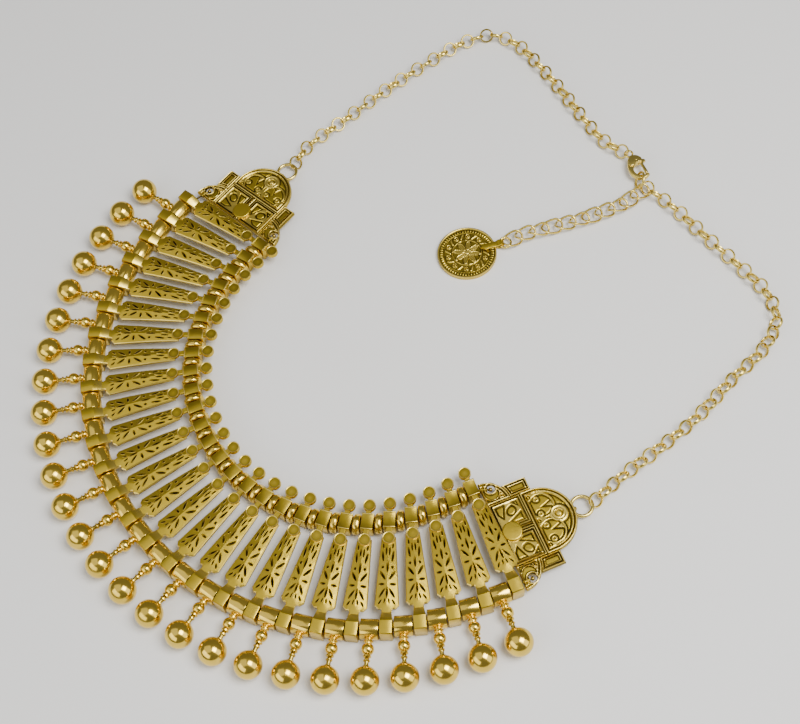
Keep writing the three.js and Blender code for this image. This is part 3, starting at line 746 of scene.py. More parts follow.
def thread_through(points):
    """A round thread along a chain of points, closed at both ends."""
    shape = new_shape()
    verts = bmesh.ops.create_circle(shape, cap_ends=True, segments=8, radius=THREAD_R)["verts"]
    bmesh.ops.transform(shape, matrix=aimed(points[0], points[1] - points[0]), verts=verts)
    edges = edges_at(verts)
    for here, there in zip(points, points[1:]):
        made = bmesh.ops.extrude_edge_only(shape, edges=edges)["geom"]
        verts = verts_in(made)
        edges = [
            item for item in made
            if isinstance(item, bmesh.types.BMEdge) and all(vert in verts for vert in item.verts)
        ]
        bmesh.ops.translate(shape, vec=there - here, verts=verts)
    bmesh.ops.edgeloop_fill(shape, edges=edges)
    tint(shape, shape.verts, patina=0.8)
    return crease(outward(shape), 50)


def strand_points(side, at, end):
    """The places that a strand's thread passes, from the middle bar to its end."""
    points = [on_bar(MIDDLE, at) + strand_direction(side, MIDDLE) * 0.15]
    points += [on_bar(MIDDLE + side * (k + 0.5), at) for k in range(MIDDLE)]
    return points + [on_bar(MIDDLE + side * MIDDLE, at), end]


# %% [markdown]
# ## The end plaques
#
# At each end of the bib stands a small architectural plaque: a block of two framed squares with a round
# boss before them, a dome with scrolls behind, a step on each side and a pierced quarter arch at each
# corner. On the real one the ornament is cast in low relief, with dark tarnish between bright lines. It
# is modelled as a fine grid whose height is drawn with lines and rings, trimmed to the outline; a
# sculpted relief of this kind would be slow to build from separate wires and would lose the tarnish
# that lies along each line.

# %% Drawing relief on a grid
PLAQUE_HALF = 16.4
ARCH_R = 6.7
ARCH_AT = PLAQUE_HALF - ARCH_R
STEP_HALF = 13.4
STEP_TOP = 12.7
DOME_R = 9.5
DOME_AT = 11.9
BLOCK_HALF = 9.4
BLOCK_TOP = 9.2
PIERCE = (13.85, 2.75)
PIERCE_R = 1.3
PLAQUE_GROUND = 3.45
PLAQUE_BACK = 2.45
RELIEF = 0.5
GRID = 0.14
GROOVE = 0.19
FIELD = 0.72
OLIVE = 0.4
FAR = 9.0  # more than any distance that matters


class Relief:
    """A height and tarnish drawn over the points of a flat grid."""

    def __init__(self, across, along, rise):
        self.v, self.u, self.rise = across, along, rise
        self.height = np.zeros_like(across)
        self.near = np.full_like(across, FAR)

    def line(self, distance, width, where=True, rise=1.0):
        """Raises a rounded line where the distance to its middle is small."""
        half = width / 2
        d = np.where(where, np.abs(distance), FAR)
        bump = np.sqrt(np.clip(1 - (d / half) ** 2, 0, 1)) * self.rise * rise
        self.height = np.maximum(self.height, bump)
        self.near = np.minimum(self.near, np.maximum(d - half, 0))

    def raise_area(self, inside, rise):
        """Lifts a flat area, whose inside distance is given, with a sloping edge."""
        bump = np.clip(inside / 0.15, 0, 1) * self.rise * rise
        self.height = np.maximum(self.height, bump)
        self.near = np.minimum(self.near, np.where(inside < 0, -inside, FAR))

    def panel(self, inside, level):
        """Sinks a panel, whose inside distance is given, to a level, with a dark groove round it."""
        groove = np.clip(1.5 - np.abs(inside - GROOVE) / GROOVE, 0, 1)
        level_here = np.where(inside > GROOVE, level * self.rise, self.height)
        self.height = level_here * (1 - groove)
        self.near = np.where(groove > 0.2, 0, self.near)

    def sink(self, inside, depth):
        self.height = self.height - np.clip(inside / 0.15, 0, 1) * depth
        self.near = np.minimum(self.near, np.abs(inside))

    def arc(self, centre, radius, start, end, width, where):
        """A line along part of a circle, from one angle to another, in degrees."""
        dv, du = self.v - centre[0], self.u - centre[1]
        turn = (np.degrees(np.arctan2(du, dv)) - start) % 360
        ends = [
            np.hypot(dv - radius * math.cos(angle), du - radius * math.sin(angle))
            for angle in (math.radians(start), math.radians(end))
        ]
        on_arc = np.abs(np.hypot(dv, du) - radius)
        self.line(np.where(turn <= (end - start) % 360, on_arc, np.minimum(*ends)), width, where)

    def outline(self, points, width, where):
        """A line round a closed chain of points."""
        best = np.full_like(self.v, FAR)
        for (v0, u0), (v1, u1) in zip(points, points[1:] + points[:1]):
            run_v, run_u = v1 - v0, u1 - u0
            length = run_v * run_v + run_u * run_u
            t = np.clip(((self.v - v0) * run_v + (self.u - u0) * run_u) / length, 0, 1)
            best = np.minimum(best, np.hypot(self.v - v0 - t * run_v, self.u - u0 - t * run_u))
        self.line(best, width, where)


def inside_box(v, u, v0, v1, u0, u1):
    """How far a point is inside a rectangle; negative outside."""
    return np.minimum(np.minimum(v - v0, v1 - v), np.minimum(u - u0, u1 - u))


def inside_corners(v, u, points):
    """How far a point is inside a convex shape, whose corners run clockwise; negative outside."""
    depth = np.full_like(v, FAR)
    for (v0, u0), (v1, u1) in zip(points, points[1:] + points[:1]):
        off = (v - v0) * (u1 - u0) - (u - u0) * (v1 - v0)
        depth = np.minimum(depth, off / math.hypot(v1 - v0, u1 - u0))
    return depth


# The plaque is symmetric, so a is the distance from its middle line and u the height above its base.
def past_arch(a, u):
    return np.hypot(np.maximum(a - ARCH_AT, 0), u) - ARCH_R


def past_piercing(a, u):
    return np.hypot(a - PIERCE[0], u - PIERCE[1]) - PIERCE_R


def under_step(a, u):
    return np.minimum(STEP_HALF - a, STEP_TOP - u)


def under_dome(a, u):
    return DOME_R - np.hypot(a, np.maximum(u - DOME_AT, 0))


def inside_plaque(v, u):
    """How far a point is inside the plaque's outline; negative outside."""
    a = np.abs(v)
    solid = np.maximum(np.maximum(-past_arch(a, u), under_step(a, u)), under_dome(a, u))
    return np.minimum(np.minimum(solid, u), past_piercing(a, u))


def inside_dome(a, u):
    """How far a point is inside the dome above the squares; negative outside."""
    return np.minimum(under_dome(a, u), u - BLOCK_TOP)


# %% The plaque's ornament
BOSS_AT = 3.15
BOSS_R = 2.75
TARGE_AT = 16.8
SQUARE = (0.75, 9.4, 0.0, 9.2)
RIB = 0.42
PETALS = (
    [(3.9, 2.6), (8.0, 4.3), (8.0, 1.4), (5.8, 1.4)],
    [(2.9, 3.6), (2.15, 5.2), (2.15, 7.8), (4.9, 7.8)],
    [(6.2, 7.8), (8.0, 7.8), (8.0, 6.0)],
)
EYE = (5.75, 5.4, 1.65, 1.3)
SCROLL = (3.9, 13.3, 3.2)
CURLS = ((6.1, 12.7), (1.75, 12.3))
CURL_R = 0.85
CUSP = [(3.5, 14.2), (2.7, 16.4), (4.3, 16.4)]


def draw_squares(art, a, u, block):
    """Two framed squares, each with an eye between two petals and a triangle in its far corner."""
    square = inside_box(a, u, *SQUARE)
    art.line(square - 0.3, RIB, block > 0)
    art.line(square - 1.05, RIB, square > 0)
    art.line(a - 0.32, 0.34, block > 0)
    art.raise_area(np.where(block > 0, square - 1.1, -FAR), FIELD)
    for corners in PETALS:
        art.panel(inside_corners(a, u, corners), OLIVE)
    eye_v, eye_u, eye_long, eye_wide = EYE
    out = ((a - eye_v) + (u - eye_u)) / math.sqrt(2)
    aside = ((u - eye_u) - (a - eye_v)) / math.sqrt(2)
    art.panel((1 - np.hypot(out / eye_long, aside / eye_wide)) * eye_wide, OLIVE)


def draw_dome(art, a, u):
    """A double rim, two scroll palmettes, a target under the top and small dots in the corners."""
    dome = inside_dome(a, u)
    art.line(dome - 0.35, 0.55, dome > 0)
    art.line(dome - 1.2, 0.45, dome > 0)
    art.raise_area(np.where(dome > 0, dome - 1.3, -FAR), FIELD)
    scroll_v, scroll_u, scroll_r = SCROLL
    from_scroll = np.hypot(a - scroll_v, u - scroll_u)
    targe = np.hypot(a, u - TARGE_AT)
    moon = np.minimum(np.minimum(dome - 1.6, from_scroll - scroll_r - 0.55), targe - 2.6)
    art.panel(np.minimum(moon, u - 13.2), OLIVE)
    palmette = np.minimum(scroll_r - from_scroll, u - 10.75)
    for curl in CURLS:
        palmette = np.minimum(palmette, np.hypot(a - curl[0], u - curl[1]) - CURL_R)
    art.panel(np.minimum(palmette, -inside_corners(a, u, CUSP)), OLIVE)
    for curl in CURLS:
        art.sink(0.34 - np.hypot(a - curl[0], u - curl[1]), 0.7 * art.rise)
    for dot in ((7.3, 11.0), (0, 10.95)):
        from_dot = np.hypot(a - dot[0], u - dot[1])
        art.sink(0.62 - from_dot, 0.8 * art.rise)
        art.raise_area(0.3 - from_dot, FIELD)
    art.raise_area(2.35 - targe, 0.5)
    art.line(targe - 2.1, 0.5)
    art.line(targe - 1.3, 0.34)
    art.sink(1.15 - targe, 0.5 * art.rise)
    art.raise_area(0.75 - targe, 0.9)


def draw_sides(art, a, u, block, dome):
    """Nested frames on the steps, bands round the arches and a ring round each piercing."""
    from_arch, from_hole = past_arch(a, u), past_piercing(a, u)
    arch = np.minimum(-from_arch, u)
    free = (block <= 0) & (dome <= 0)
    on_arch, on_step = free & (arch > 0), free & (arch <= 0)
    step = np.minimum(under_step(a, u), np.minimum(from_arch, a - DOME_R))
    art.line(step - 0.28, 0.42, on_step)
    art.line(step - 1.0, 0.38, on_step)
    art.line(arch - 0.3, 0.5, on_arch)
    art.line(np.hypot(a - ARCH_AT, u) - (ARCH_R - 1.15), 0.4, on_arch)
    art.line(a - BLOCK_HALF - 0.35, 0.4, on_arch)
    art.line(from_hole - 0.3, 0.5)
    art.arc((12.4, 2.6), 2.1, 60, 250, 0.36, on_arch & (from_hole > 0.6))
    art.outline([(10.3, 4.2), (11.6, 4.9), (10.3, 5.1)], 0.3, on_arch)


def plaque_height(v, u):
    """Height above the ground and tarnish at each point of the plaque."""
    a = np.abs(v)
    art = Relief(a, u, RELIEF)
    block = inside_box(a, u, -BLOCK_HALF, BLOCK_HALF, 0, BLOCK_TOP)
    dome = inside_dome(a, u)
    draw_sides(art, a, u, block, dome)
    draw_dome(art, a, u)
    draw_squares(art, a, u, block)
    boss = np.hypot(a, u - BOSS_AT)
    art.near = np.minimum(art.near, np.abs(boss - BOSS_R))
    top = art.height / RELIEF
    patina = np.clip(1.3 - art.near / 0.36, 0.2, 1) * np.clip(1 - top * 1.4, 0, 1)
    wear_and_highlight = np.clip(top * 1.9 - 1.05, 0, 0.85)
    return art.height, patina, wear_and_highlight


# %% Trimming a relief to its outline
NUDGE = 1e-3


def flat_places(verts):
    return np.array([vert.co[:2] for vert in verts])


def relief_sheet(inside, paint, spacing, half_width, low, high, ground, back):
    """A plate with a relief on its front, trimmed to where inside() is positive."""
    shape = new_shape()
    columns, rows = round(2 * half_width / spacing), round((high - low) / spacing)
    size = Matrix.Diagonal((half_width, (high - low) / 2, 1, 1))
    sheet = Matrix.Translation((0, (high + low) / 2, 0)) @ size
    bmesh.ops.create_grid(shape, x_segments=columns, y_segments=rows, size=1, matrix=sheet)

    def depth_at(points):
        return inside(points[:, 0], points[:, 1])

    depth = depth_at(flat_places(shape.verts))
    outside = [vert for vert, d in zip(shape.verts[:], depth) if d < -0.45 * spacing]
    bmesh.ops.delete(shape, geom=outside, context="VERTS")
    loose = [vert for vert in shape.verts if not vert.link_faces]
    bmesh.ops.delete(shape, geom=loose, context="VERTS")
    rim = [vert for vert in shape.verts if vert.is_boundary]
    first = places = flat_places(rim)
    for _ in range(4):
        slope = np.stack([
            (depth_at(places + step) - depth_at(places - step)) / (2 * NUDGE)
            for step in (np.array((NUDGE, 0)), np.array((0, NUDGE)))
        ], axis=1)
        steepness = np.maximum((slope ** 2).sum(axis=1), 0.3)
        strayed = places - slope * (depth_at(places) / steepness)[:, None] - first
        reach = np.maximum(np.hypot(strayed[:, 0], strayed[:, 1]) / (0.72 * spacing), 1)[:, None]
        places = first + strayed / reach
    for vert, (x, y) in zip(rim, places):
        vert.co.x, vert.co.y = x, y
    height, patina, wear_and_highlight = paint(*flat_places(shape.verts).T)
    for vert, h, p, w in zip(shape.verts, height, patina, wear_and_highlight):
        vert.co.z = ground + h
        tint(shape, [vert], p, w)
    return closed_below(shape, back, 0.2)


plaque_shape = relief_sheet(inside_plaque, plaque_height, GRID, 16.52, 0, 21.42, PLAQUE_GROUND, PLAQUE_BACK)
boss_profile = [
    (0, PLAQUE_GROUND - 0.2), (BOSS_R, PLAQUE_GROUND - 0.2), (BOSS_R, PLAQUE_GROUND + 0.9),
    (BOSS_R - 0.15, PLAQUE_GROUND + 1.08), (BOSS_R - 0.35, PLAQUE_GROUND + 1.1), (0, PLAQUE_GROUND + 1.04),
]
boss_mesh = keep(crease(turned(boss_profile, 40), 35), "boss")
stamp(plaque_shape, boss_mesh, Matrix.Translation((0, BOSS_AT, 0)))
print("plaque faces:", len(plaque_shape.faces))

# %% [markdown]
# ## Behind the plaque
#
# Two things hide behind each plaque: the short sleeves through which the threads reach the pierced
# corners, where each ends in a crimp, and a loop soldered on the back that holds the jump ring of the
# neck chain.

# %% Sleeves, loop and the two plaques
PLAQUE_MIDDLE = (INNER_COLLAR_AT + OUTER_COLLAR_AT) / 2
PLAQUE_FIT = {-1: (1.6 + 1.85, 1.3, -2.75), 1: (1.6 + 0.7, -0.8, 0.5)}  # offset, slide, own turn
SLEEVE_R = 0.8
LOOP_AT = 20.8
LOOP_HOLE_R = 0.8
RING_Z = PLAQUE_BACK - LOOP_HOLE_R


def plaque_place(side):
    """The matrix of a plaque's own frame: X along its base, Y towards its top."""
    i = MIDDLE + side * MIDDLE
    offset, slide, lean = PLAQUE_FIT[side]
    turn = bar_direction(i) + (0 if side > 0 else math.pi) + math.radians(lean)
    return turned_to(on_bar(i, PLAQUE_MIDDLE - slide, 0) + strand_direction(side, i) * offset, turn)


def hole_at(side, at):
    """The pierced corner in which a strand ends, in the plaque's own frame."""
    way = side if at > PLAQUE_MIDDLE else -side
    return Vector((way * PIERCE[0], PIERCE[1], RAIL_Z))


def sleeve(start, end, radius, bore):
    """A short tube between two points."""
    length = (end - start).length
    shape = turned([(bore, 0), (radius, 0), (radius, length), (bore, length), (bore, 0)], 20)
    bmesh.ops.transform(shape, matrix=aimed(start, end - start), verts=shape.verts[:])
    tint(shape, shape.verts, patina=0.7)
    return keep(crease(shape), "sleeve")


loop_place = Matrix.Translation((0, LOOP_AT, RING_Z)) @ Matrix.Rotation(math.pi / 2, 4, "Y")
stamp(plaque_shape, keep(crease(ring(LOOP_HOLE_R + 0.3, 0.6, 0.9)), "loop"), loop_place)
plaque_mesh = keep(crease(plaque_shape, 60), "plaque")

for side, word in ((-1, "left"), (1, "right")):
    one_plaque = placed(plaque_mesh, plaque_place(side))
    for at in (INNER_COLLAR_AT, OUTER_COLLAR_AT):
        entry = plaque_place(side).inverted() @ on_bar(MIDDLE + side * MIDDLE, at)
        hole = hole_at(side, at)
        run = (hole - entry).normalized()
        mouth = entry - run * (entry.y / run.y)
        stamp(one_plaque, sleeve(mouth, hole - run * 0.9, SLEEVE_R, 0.6), plaque_place(side))
    publish(one_plaque, f"carved_plaque_{word}", SATIN, [f"end_plaque_{word}"])

# %% Both strands on each side
CRIMP_R = 0.6
crimp_profile = [(0, -CRIMP_R), (CRIMP_R, -CRIMP_R / 2), (CRIMP_R, CRIMP_R / 2), (0, CRIMP_R)]
crimp_shape = soften(turned(crimp_profile, 16), 0.12, 30)
tint(crimp_shape, crimp_shape.verts, patina=0.6)
crimp_mesh = keep(crease(crimp_shape), "crimp")

for side, word in ((-1, "left"), (1, "right")):
    outer, inner, drops = new_shape(), new_shape(), new_shape()
    for k in range(MIDDLE):
        i = MIDDLE + side * (k + 0.5)
        stamp(outer, tube_mesh, along_strand(i, OUTER_COLLAR_AT, side))
        stamp(inner, spacer_mesh, along_strand(i, INNER_COLLAR_AT, side) @ Matrix.Rotation(1.7 * k, 4, "Z"))
        outward_way = turned_to(on_bar(i, OUTER_COLLAR_AT), bar_direction(i))
        stamp(drops, drop_mesh, outward_way @ Matrix.Rotation(math.pi / 2 - drop_rise, 4, "Y"))
    for shape, at in ((outer, OUTER_COLLAR_AT), (inner, INNER_COLLAR_AT)):
        end = plaque_place(side) @ hole_at(side, at)
        points = strand_points(side, at, end)
        stamp(shape, keep(thread_through(points), "thread"))
        stamp(shape, crimp_mesh, aimed(end, points[-1] - points[-2]))
    for shape, name, strand in (
        (outer, "tube_beads", "outer_strand"), (drops, "ball_drops", "outer_strand"),
        (inner, "spacer_beads", "inner_strand"),
    ):
        publish(shape, f"{name}_{word}", POLISHED, [f"{strand}_{word}"])
print("strands are strung")

# %% [markdown]
# ## Chains
#
# The neck chains are round links of flat band, each turned a quarter against the next, which is why they
# lie at about 45 degrees to the table and show as alternating ovals. The links are placed at equal steps
# along the same smooth route as the frame's tubes. A copied link costs few faces, so the real chain can
# be shown link by link.

# %% Routes
LEFT_ROUTE = (
    (-70.9, 25.4), (-73.4, 32), (-74.2, 50), (-74.8, 68), (-74.3, 84), (-73.2, 96), (-69, 105.6),
    (-60.5, 108.9), (-50, 108.6), (-37, 107), (-24, 104.8), (-13, 103.6), (-6.3, 105),
)
RIGHT_ROUTE = (
    (74.9, 19.7), (74.4, 30), (74.8, 45), (74.6, 58), (72.4, 74), (71.2, 87), (66.8, 97), (58.5, 101.3),
    (46, 102), (33, 102), (20, 102.3), (9.1, 101.4),
)
EXTENDER_ROUTE = (
    (8.7, 98.6), (8.2, 91.5), (6.6, 86), (4.6, 80), (1.6, 73), (-1.2, 67), (-3.3, 62), (-4.1, 58.5),
)


def smooth_route(points, per_span=24):
    """Points along a smooth curve that passes through all the given ones."""

    def between(first, second, from_t, to_t):
        return first.lerp(second, (t - from_t) / (to_t - from_t))

    knots = [points[0] * 2 - points[1], *points, points[-1] * 2 - points[-2]]
    dense = []
    for p0, p1, p2, p3 in zip(knots, knots[1:], knots[2:], knots[3:]):
        t1 = math.sqrt((p1 - p0).length)
        t2 = t1 + math.sqrt((p2 - p1).length)
        t3 = t2 + math.sqrt((p3 - p2).length)
        for k in range(per_span):
            t = t1 + (t2 - t1) * k / per_span
            a1, a2, a3 = between(p0, p1, 0, t1), between(p1, p2, t1, t2), between(p2, p3, t2, t3)
            dense.append(between(between(a1, a2, 0, t2), between(a2, a3, t1, t3), t1, t2))
    return dense + [points[-1].copy()]


def even_steps(points, pitch):
    """Places and directions at equal steps of about the pitch along a chain of points."""
    lengths = [0.0]
    for here, there in zip(points, points[1:]):
        lengths.append(lengths[-1] + (there - here).length)
    count = math.ceil(lengths[-1] / pitch)
    steps = []
    k = 0
    for n in range(count + 1):
        goal = lengths[-1] * n / count
        while k < len(points) - 2 and lengths[k + 1] < goal:
            k += 1
        t = (goal - lengths[k]) / (lengths[k + 1] - lengths[k])
        steps.append((points[k].lerp(points[k + 1], t), (points[k + 1] - points[k]).normalized()))
    return steps


# %% Neck chains
LINK_R = 2.0
LINK_THICK = 0.6
LINK_WIDE = 1.05
LINK_PITCH = 3.38
LINK_Z = 1.95
link_mesh = keep(crease(ring(LINK_R, LINK_THICK, LINK_WIDE, steps=22, sides=8), 40), "chain link")
PLAQUE_RING_R = 2.9
PLAQUE_RING_WIRE = 0.5


def link_place(place, along, roll):
    """Lays a ring's plane along the chain, rolled about the chain's direction."""
    side = Vector((-along.y, along.x, 0)).normalized()
    up = along.cross(side).normalized()
    axis = up * math.cos(roll) + side * math.sin(roll)
    third = axis.cross(along)
    turn = Matrix((along, third, axis)).transposed().to_4x4()
    return Matrix.Translation(place) @ turn


hoop_shape = crease(ring(PLAQUE_RING_R, 2 * PLAQUE_RING_WIRE, 2 * PLAQUE_RING_WIRE, 36, 12), 50)
hoop_mesh = keep(hoop_shape, "hoop")
for side, word, route in ((-1, "left", LEFT_ROUTE), (1, "right", RIGHT_ROUTE)):
    start = plaque_place(side) @ Vector((0, LOOP_AT + 2 * PLAQUE_RING_R + 1.25, 0))
    shift = start - Vector((*route[0], 0))
    spans = len(route) - 1
    points = smooth_route([Vector((x, y, LINK_Z)) + shift * (1 - k / spans) for k, (x, y) in enumerate(route)])
    chain = new_shape()
    for n, (place, along) in enumerate(even_steps(points, LINK_PITCH)):
        roll = (math.pi / 4 if n % 2 else -math.pi / 4) + 0.12 * math.sin(2.3 * n)
        stamp(chain, link_mesh, link_place(place, along, roll))
    publish(chain, f"chain_links_{word}", WIRE, [f"neck_chain_{word}"])
    middle = plaque_place(side) @ Vector((0, LOOP_AT + PLAQUE_RING_R, RING_Z))
    hoop = placed(hoop_mesh, Matrix.Translation(middle))
    publish(hoop, f"jump_ring_{word}", WIRE, [f"plaque_ring_{word}"])
    print(word, "chain links:", n + 1)

# %% [markdown]
# ## The extender
#
# The extender is a curb chain: oval links of round wire, each twisted along its length so that the links
# lie nearly flat and still pass through each other. One oval ring is stretched and twisted, and stamped
# along the route.

# %% Extender links
CURB_LONG = 7.0
CURB_WIDE = 5.0
CURB_WIRE = 0.7
CURB_PITCH = 4.4
CURB_TWIST = math.radians(80)
CURB_Z = 1.75


def curb_link():
    """An oval link, twisted along its length."""
    shape = ring((CURB_WIDE - CURB_WIRE) / 2, CURB_WIRE, CURB_WIRE, 28, 8)
    stretch = (CURB_LONG - CURB_WIDE) / 2
    for vert in shape.verts:
        vert.co.x += math.copysign(stretch, vert.co.x) * min(1.0, abs(vert.co.x) / 0.6)
        vert.co.rotate(Matrix.Rotation(CURB_TWIST * vert.co.x / CURB_LONG, 3, "X"))
    return keep(crease(shape, 50), "curb link")


curb_mesh = curb_link()
extender = new_shape()
points = smooth_route([Vector((x, y, CURB_Z)) for x, y in EXTENDER_ROUTE])
for n, (place, along) in enumerate(even_steps(points, CURB_PITCH)):
    stamp(extender, curb_mesh, link_place(place, along, 0.25 * math.sin(2.1 * n)))
publish(extender, "extender_links", WIRE, ["extender_chain"])
print("extender links:", n + 1)

# %% [markdown]
# ## The clasp
#
# The clasp is a small lobster claw: a loop, a broad shouldered body that narrows into a curved hook, and
# a sprung lever that closes the hook's mouth. Each part is a flat outline drawn out to its thickness and
# then rounded strongly, as a cast fitting is. The lever is a piece of its own that rides on its own body.

# %% Clasp outlines
CLASP_TURN = math.radians(-14)
CLASP_Z = 2.5 * math.sin(math.radians(65)) + 0.4
CLASP = turned_to(Vector((-3.8, 105.5, CLASP_Z)), CLASP_TURN)
PIVOT = Vector((3.3, 0.75, 0))
PIN_R = 0.45
LEVER_HALF = 0.45
HOOK_HALF = 0.75
CHEEK_HALF = 0.17
CHEEK_AT = 0.92
PIN_HALF = 1.15
BODY_OUTSIDE = (
    (1.1, -0.5), (2.3, -1.7), (4.2, -2.75), (6.4, -3.25), (8.6, -2.85), (10.1, -1.4), (10.45, 0.4), (9.9, 1.85),
)
BODY_INSIDE = (
    (9.25, 1.75), (9.25, 0.4), (8.8, -1.0), (7.6, -1.75), (6.2, -1.65), (5.1, -0.8), (4.65, 0.3), (4.6, 1.6),
)
BODY_SHOULDER = ((4.2, 2.35), (3.4, 2.45), (2.0, 1.6), (1.1, 0.5))
CHEEK = ((1.6, -0.9), (4.4, -2.4), (5.0, -1.0), (4.5, 0.3), (4.6, 1.9), (3.4, 2.3), (1.7, 0.95))
LEVER_OUTLINE = (
    (3.0, 1.6), (3.6, 2.6), (4.2, 3.25), (4.85, 3.15), (5.05, 2.4), (5.6, 2.1), (7.3, 2.0), (8.85, 1.85),
    (8.9, 1.05), (7.0, 1.1), (5.0, 1.15), (4.3, 0.2), (3.4, -0.35), (2.4, 0.2), (2.3, 1.1),
)


def drawn_out(points, half, softness, segments=3):
    """A flat outline drawn out to both sides of z = 0 and rounded."""
    shape = new_shape()
    face = bmesh.ops.edgeloop_fill(shape, edges=loop_of(shape, points))["faces"]
    thickened(shape, face, 2 * half)
    rims = [edge for edge in shape.edges if abs(edge.verts[0].co.z - edge.verts[1].co.z) < 1e-4]
    return crease(rounded(shape, rims, softness, segments), 40)


def smooth_outline(points, per_span=4):
    """An open outline made smooth."""
    return [point.xy[:] for point in smooth_route([Vector((x, y, 0)) for x, y in points], per_span)]


def smooth_loop(points):
    """A closed outline made smooth."""
    return smooth_outline(points + points[:1], 3)[:-1]


claw = new_shape()
hook_points = [point for run in (BODY_OUTSIDE, BODY_INSIDE, BODY_SHOULDER) for point in smooth_outline(run)]
stamp(claw, keep(drawn_out(hook_points, HOOK_HALF, 0.42), "hook"))
stamp(claw, keep(crease(ring(1.18, 0.64, 0.8)), "clasp loop"))
cheek_mesh = keep(drawn_out(smooth_loop(CHEEK), CHEEK_HALF, 0.12, 2), "cheek")
for way in (-1, 1):
    stamp(claw, cheek_mesh, Matrix.Translation((0, 0, way * CHEEK_AT)))
pin_profile = [(0, -PIN_HALF), (PIN_R, -PIN_HALF), (PIN_R, PIN_HALF), (0, PIN_HALF)]
stamp(claw, keep(crease(soften(turned(pin_profile, 16), 0.1)), "pin"), Matrix.Translation(PIVOT))
publish(placed(keep(claw, "claw"), CLASP), "clasp_claw", WIRE, ["clasp_body"])

arm_mesh = keep(drawn_out(smooth_loop(LEVER_OUTLINE), LEVER_HALF, 0.25, 2), "arm")
publish(placed(arm_mesh, CLASP), "clasp_thumb_lever", WIRE, ["clasp_lever"], body="lever")

# %% The end ring in the hook
END_RING_R = 2.5
END_RING_THICK = 0.8
END_TURN = math.radians(-25)
END_LEAN = math.radians(65)
RING_IN_HOOK = Vector((8, -0.75, 0))
end_middle = RING_IN_HOOK + Vector((math.cos(END_TURN), math.sin(END_TURN), 0)) * END_RING_R
end_place = CLASP @ turned_to(end_middle, END_TURN) @ Matrix.Rotation(END_LEAN, 4, "X")
end_mesh = keep(crease(ring(END_RING_R, END_RING_THICK, END_RING_THICK, 36, 10), 50), "end hoop")
publish(placed(end_mesh, end_place), "end_hoop", WIRE, ["end_ring"])
print("clasp and end ring are in place")

# %% [markdown]
# ## The coin
#
# A thin coin with a reeded rim hangs from a folded bail. Its face has a plain rosette, an eight-petalled
# star in a band of slanting leaves and small rings, inside a border of teeth. It is drawn on a grid in
# the same way as the plaques.

# %% The coin's face
COIN_R = 9.0
COIN_TOP = 1.1
COIN_TURN = math.radians(-114)
COIN_FROM_RING = 12.0
COIN_GRID = 0.15
STAR_PETALS = 8
BAND_REPEATS = 10
BAND_R = 5.8
TEETH = 60
COIN_RELIEF = 0.3


def inside_coin(x, y):
    """How far a point is inside the coin's reeded edge; negative outside."""
    reeding = 0.06 * np.cos(90 * np.arctan2(y, x))
    return COIN_R - 0.06 + reeding - np.hypot(x, y)


def coin_height(x, y):
    """Height above the coin's ground, tarnish and wear at each point."""
    r = np.hypot(x, y)
    turn = np.arctan2(y, x)
    art = Relief(x, y, COIN_RELIEF)
    art.raise_area(r - (COIN_R - 0.65), 0.9)
    art.line(r - (COIN_R - 0.3), 0.5)
    teeth = np.abs((turn * TEETH / math.tau) % 1 - 0.5) - 0.25
    art.raise_area(np.minimum(teeth * 0.8, np.minimum(r - 7.3, 8.2 - r)), 0.8)
    art.line(r - 7.1, 0.22, rise=0.6)
    art.line(r - 4.4, 0.34, rise=0.9)
    fold = np.abs((turn * STAR_PETALS / math.tau) % 1 - 0.5) * math.tau / STAR_PETALS
    along, across = r * np.cos(fold), r * np.sin(fold)
    petal = (np.hypot((along - 2.5) / 1.5, across / 0.62) - 1) * 0.6
    art.line(petal, 0.26)
    art.raise_area(-petal, 0.6)
    art.line(np.where(r < 3.9, across, FAR), 0.2)
    swirl = np.abs((turn * BAND_REPEATS / math.tau + 0.16 * (r - BAND_R)) % 1 - 0.5)
    sweep = swirl * BAND_R * math.tau / BAND_REPEATS
    art.raise_area(0.36 - np.hypot(sweep, np.maximum(np.abs(r - BAND_R) - 0.65, 0)), 0.8)
    ring_turn = (turn * BAND_REPEATS / math.tau + 0.5) % 1 - 0.5
    from_ring = np.hypot(np.abs(ring_turn) * BAND_R * math.tau / BAND_REPEATS, r - BAND_R)
    art.line(from_ring - 0.62, 0.34)
    art.raise_area(0.24 - from_ring, 0.8)
    art.raise_area(0.75 - r, 1.0)
    top = art.height / COIN_RELIEF
    patina = np.clip(1.1 - art.near / 0.5, 0.45, 0.95) * np.clip(1 - top * 1.3, 0, 1)
    wear_and_highlight = np.clip(top * 1.3 - 0.5, 0, 1) * 0.7
    return art.height, patina, wear_and_highlight


coin_shape = relief_sheet(inside_coin, coin_height, COIN_GRID, 9.15, -9.15, 9.15, COIN_TOP, 0.0)
coin_mesh = keep(crease(coin_shape, 60), "coin face")
print("coin faces:", len(coin_mesh.polygons))

# %% The bail, its leaf and the small ring
BAIL_HALF = 0.95
BAIL_T = 0.55
COIN_RING_R = 1.75
COIN_RING_WIRE = 0.35
EYE_R = COIN_RING_WIRE + 0.3
COIN_RING_Z = EYE_R + 0.6

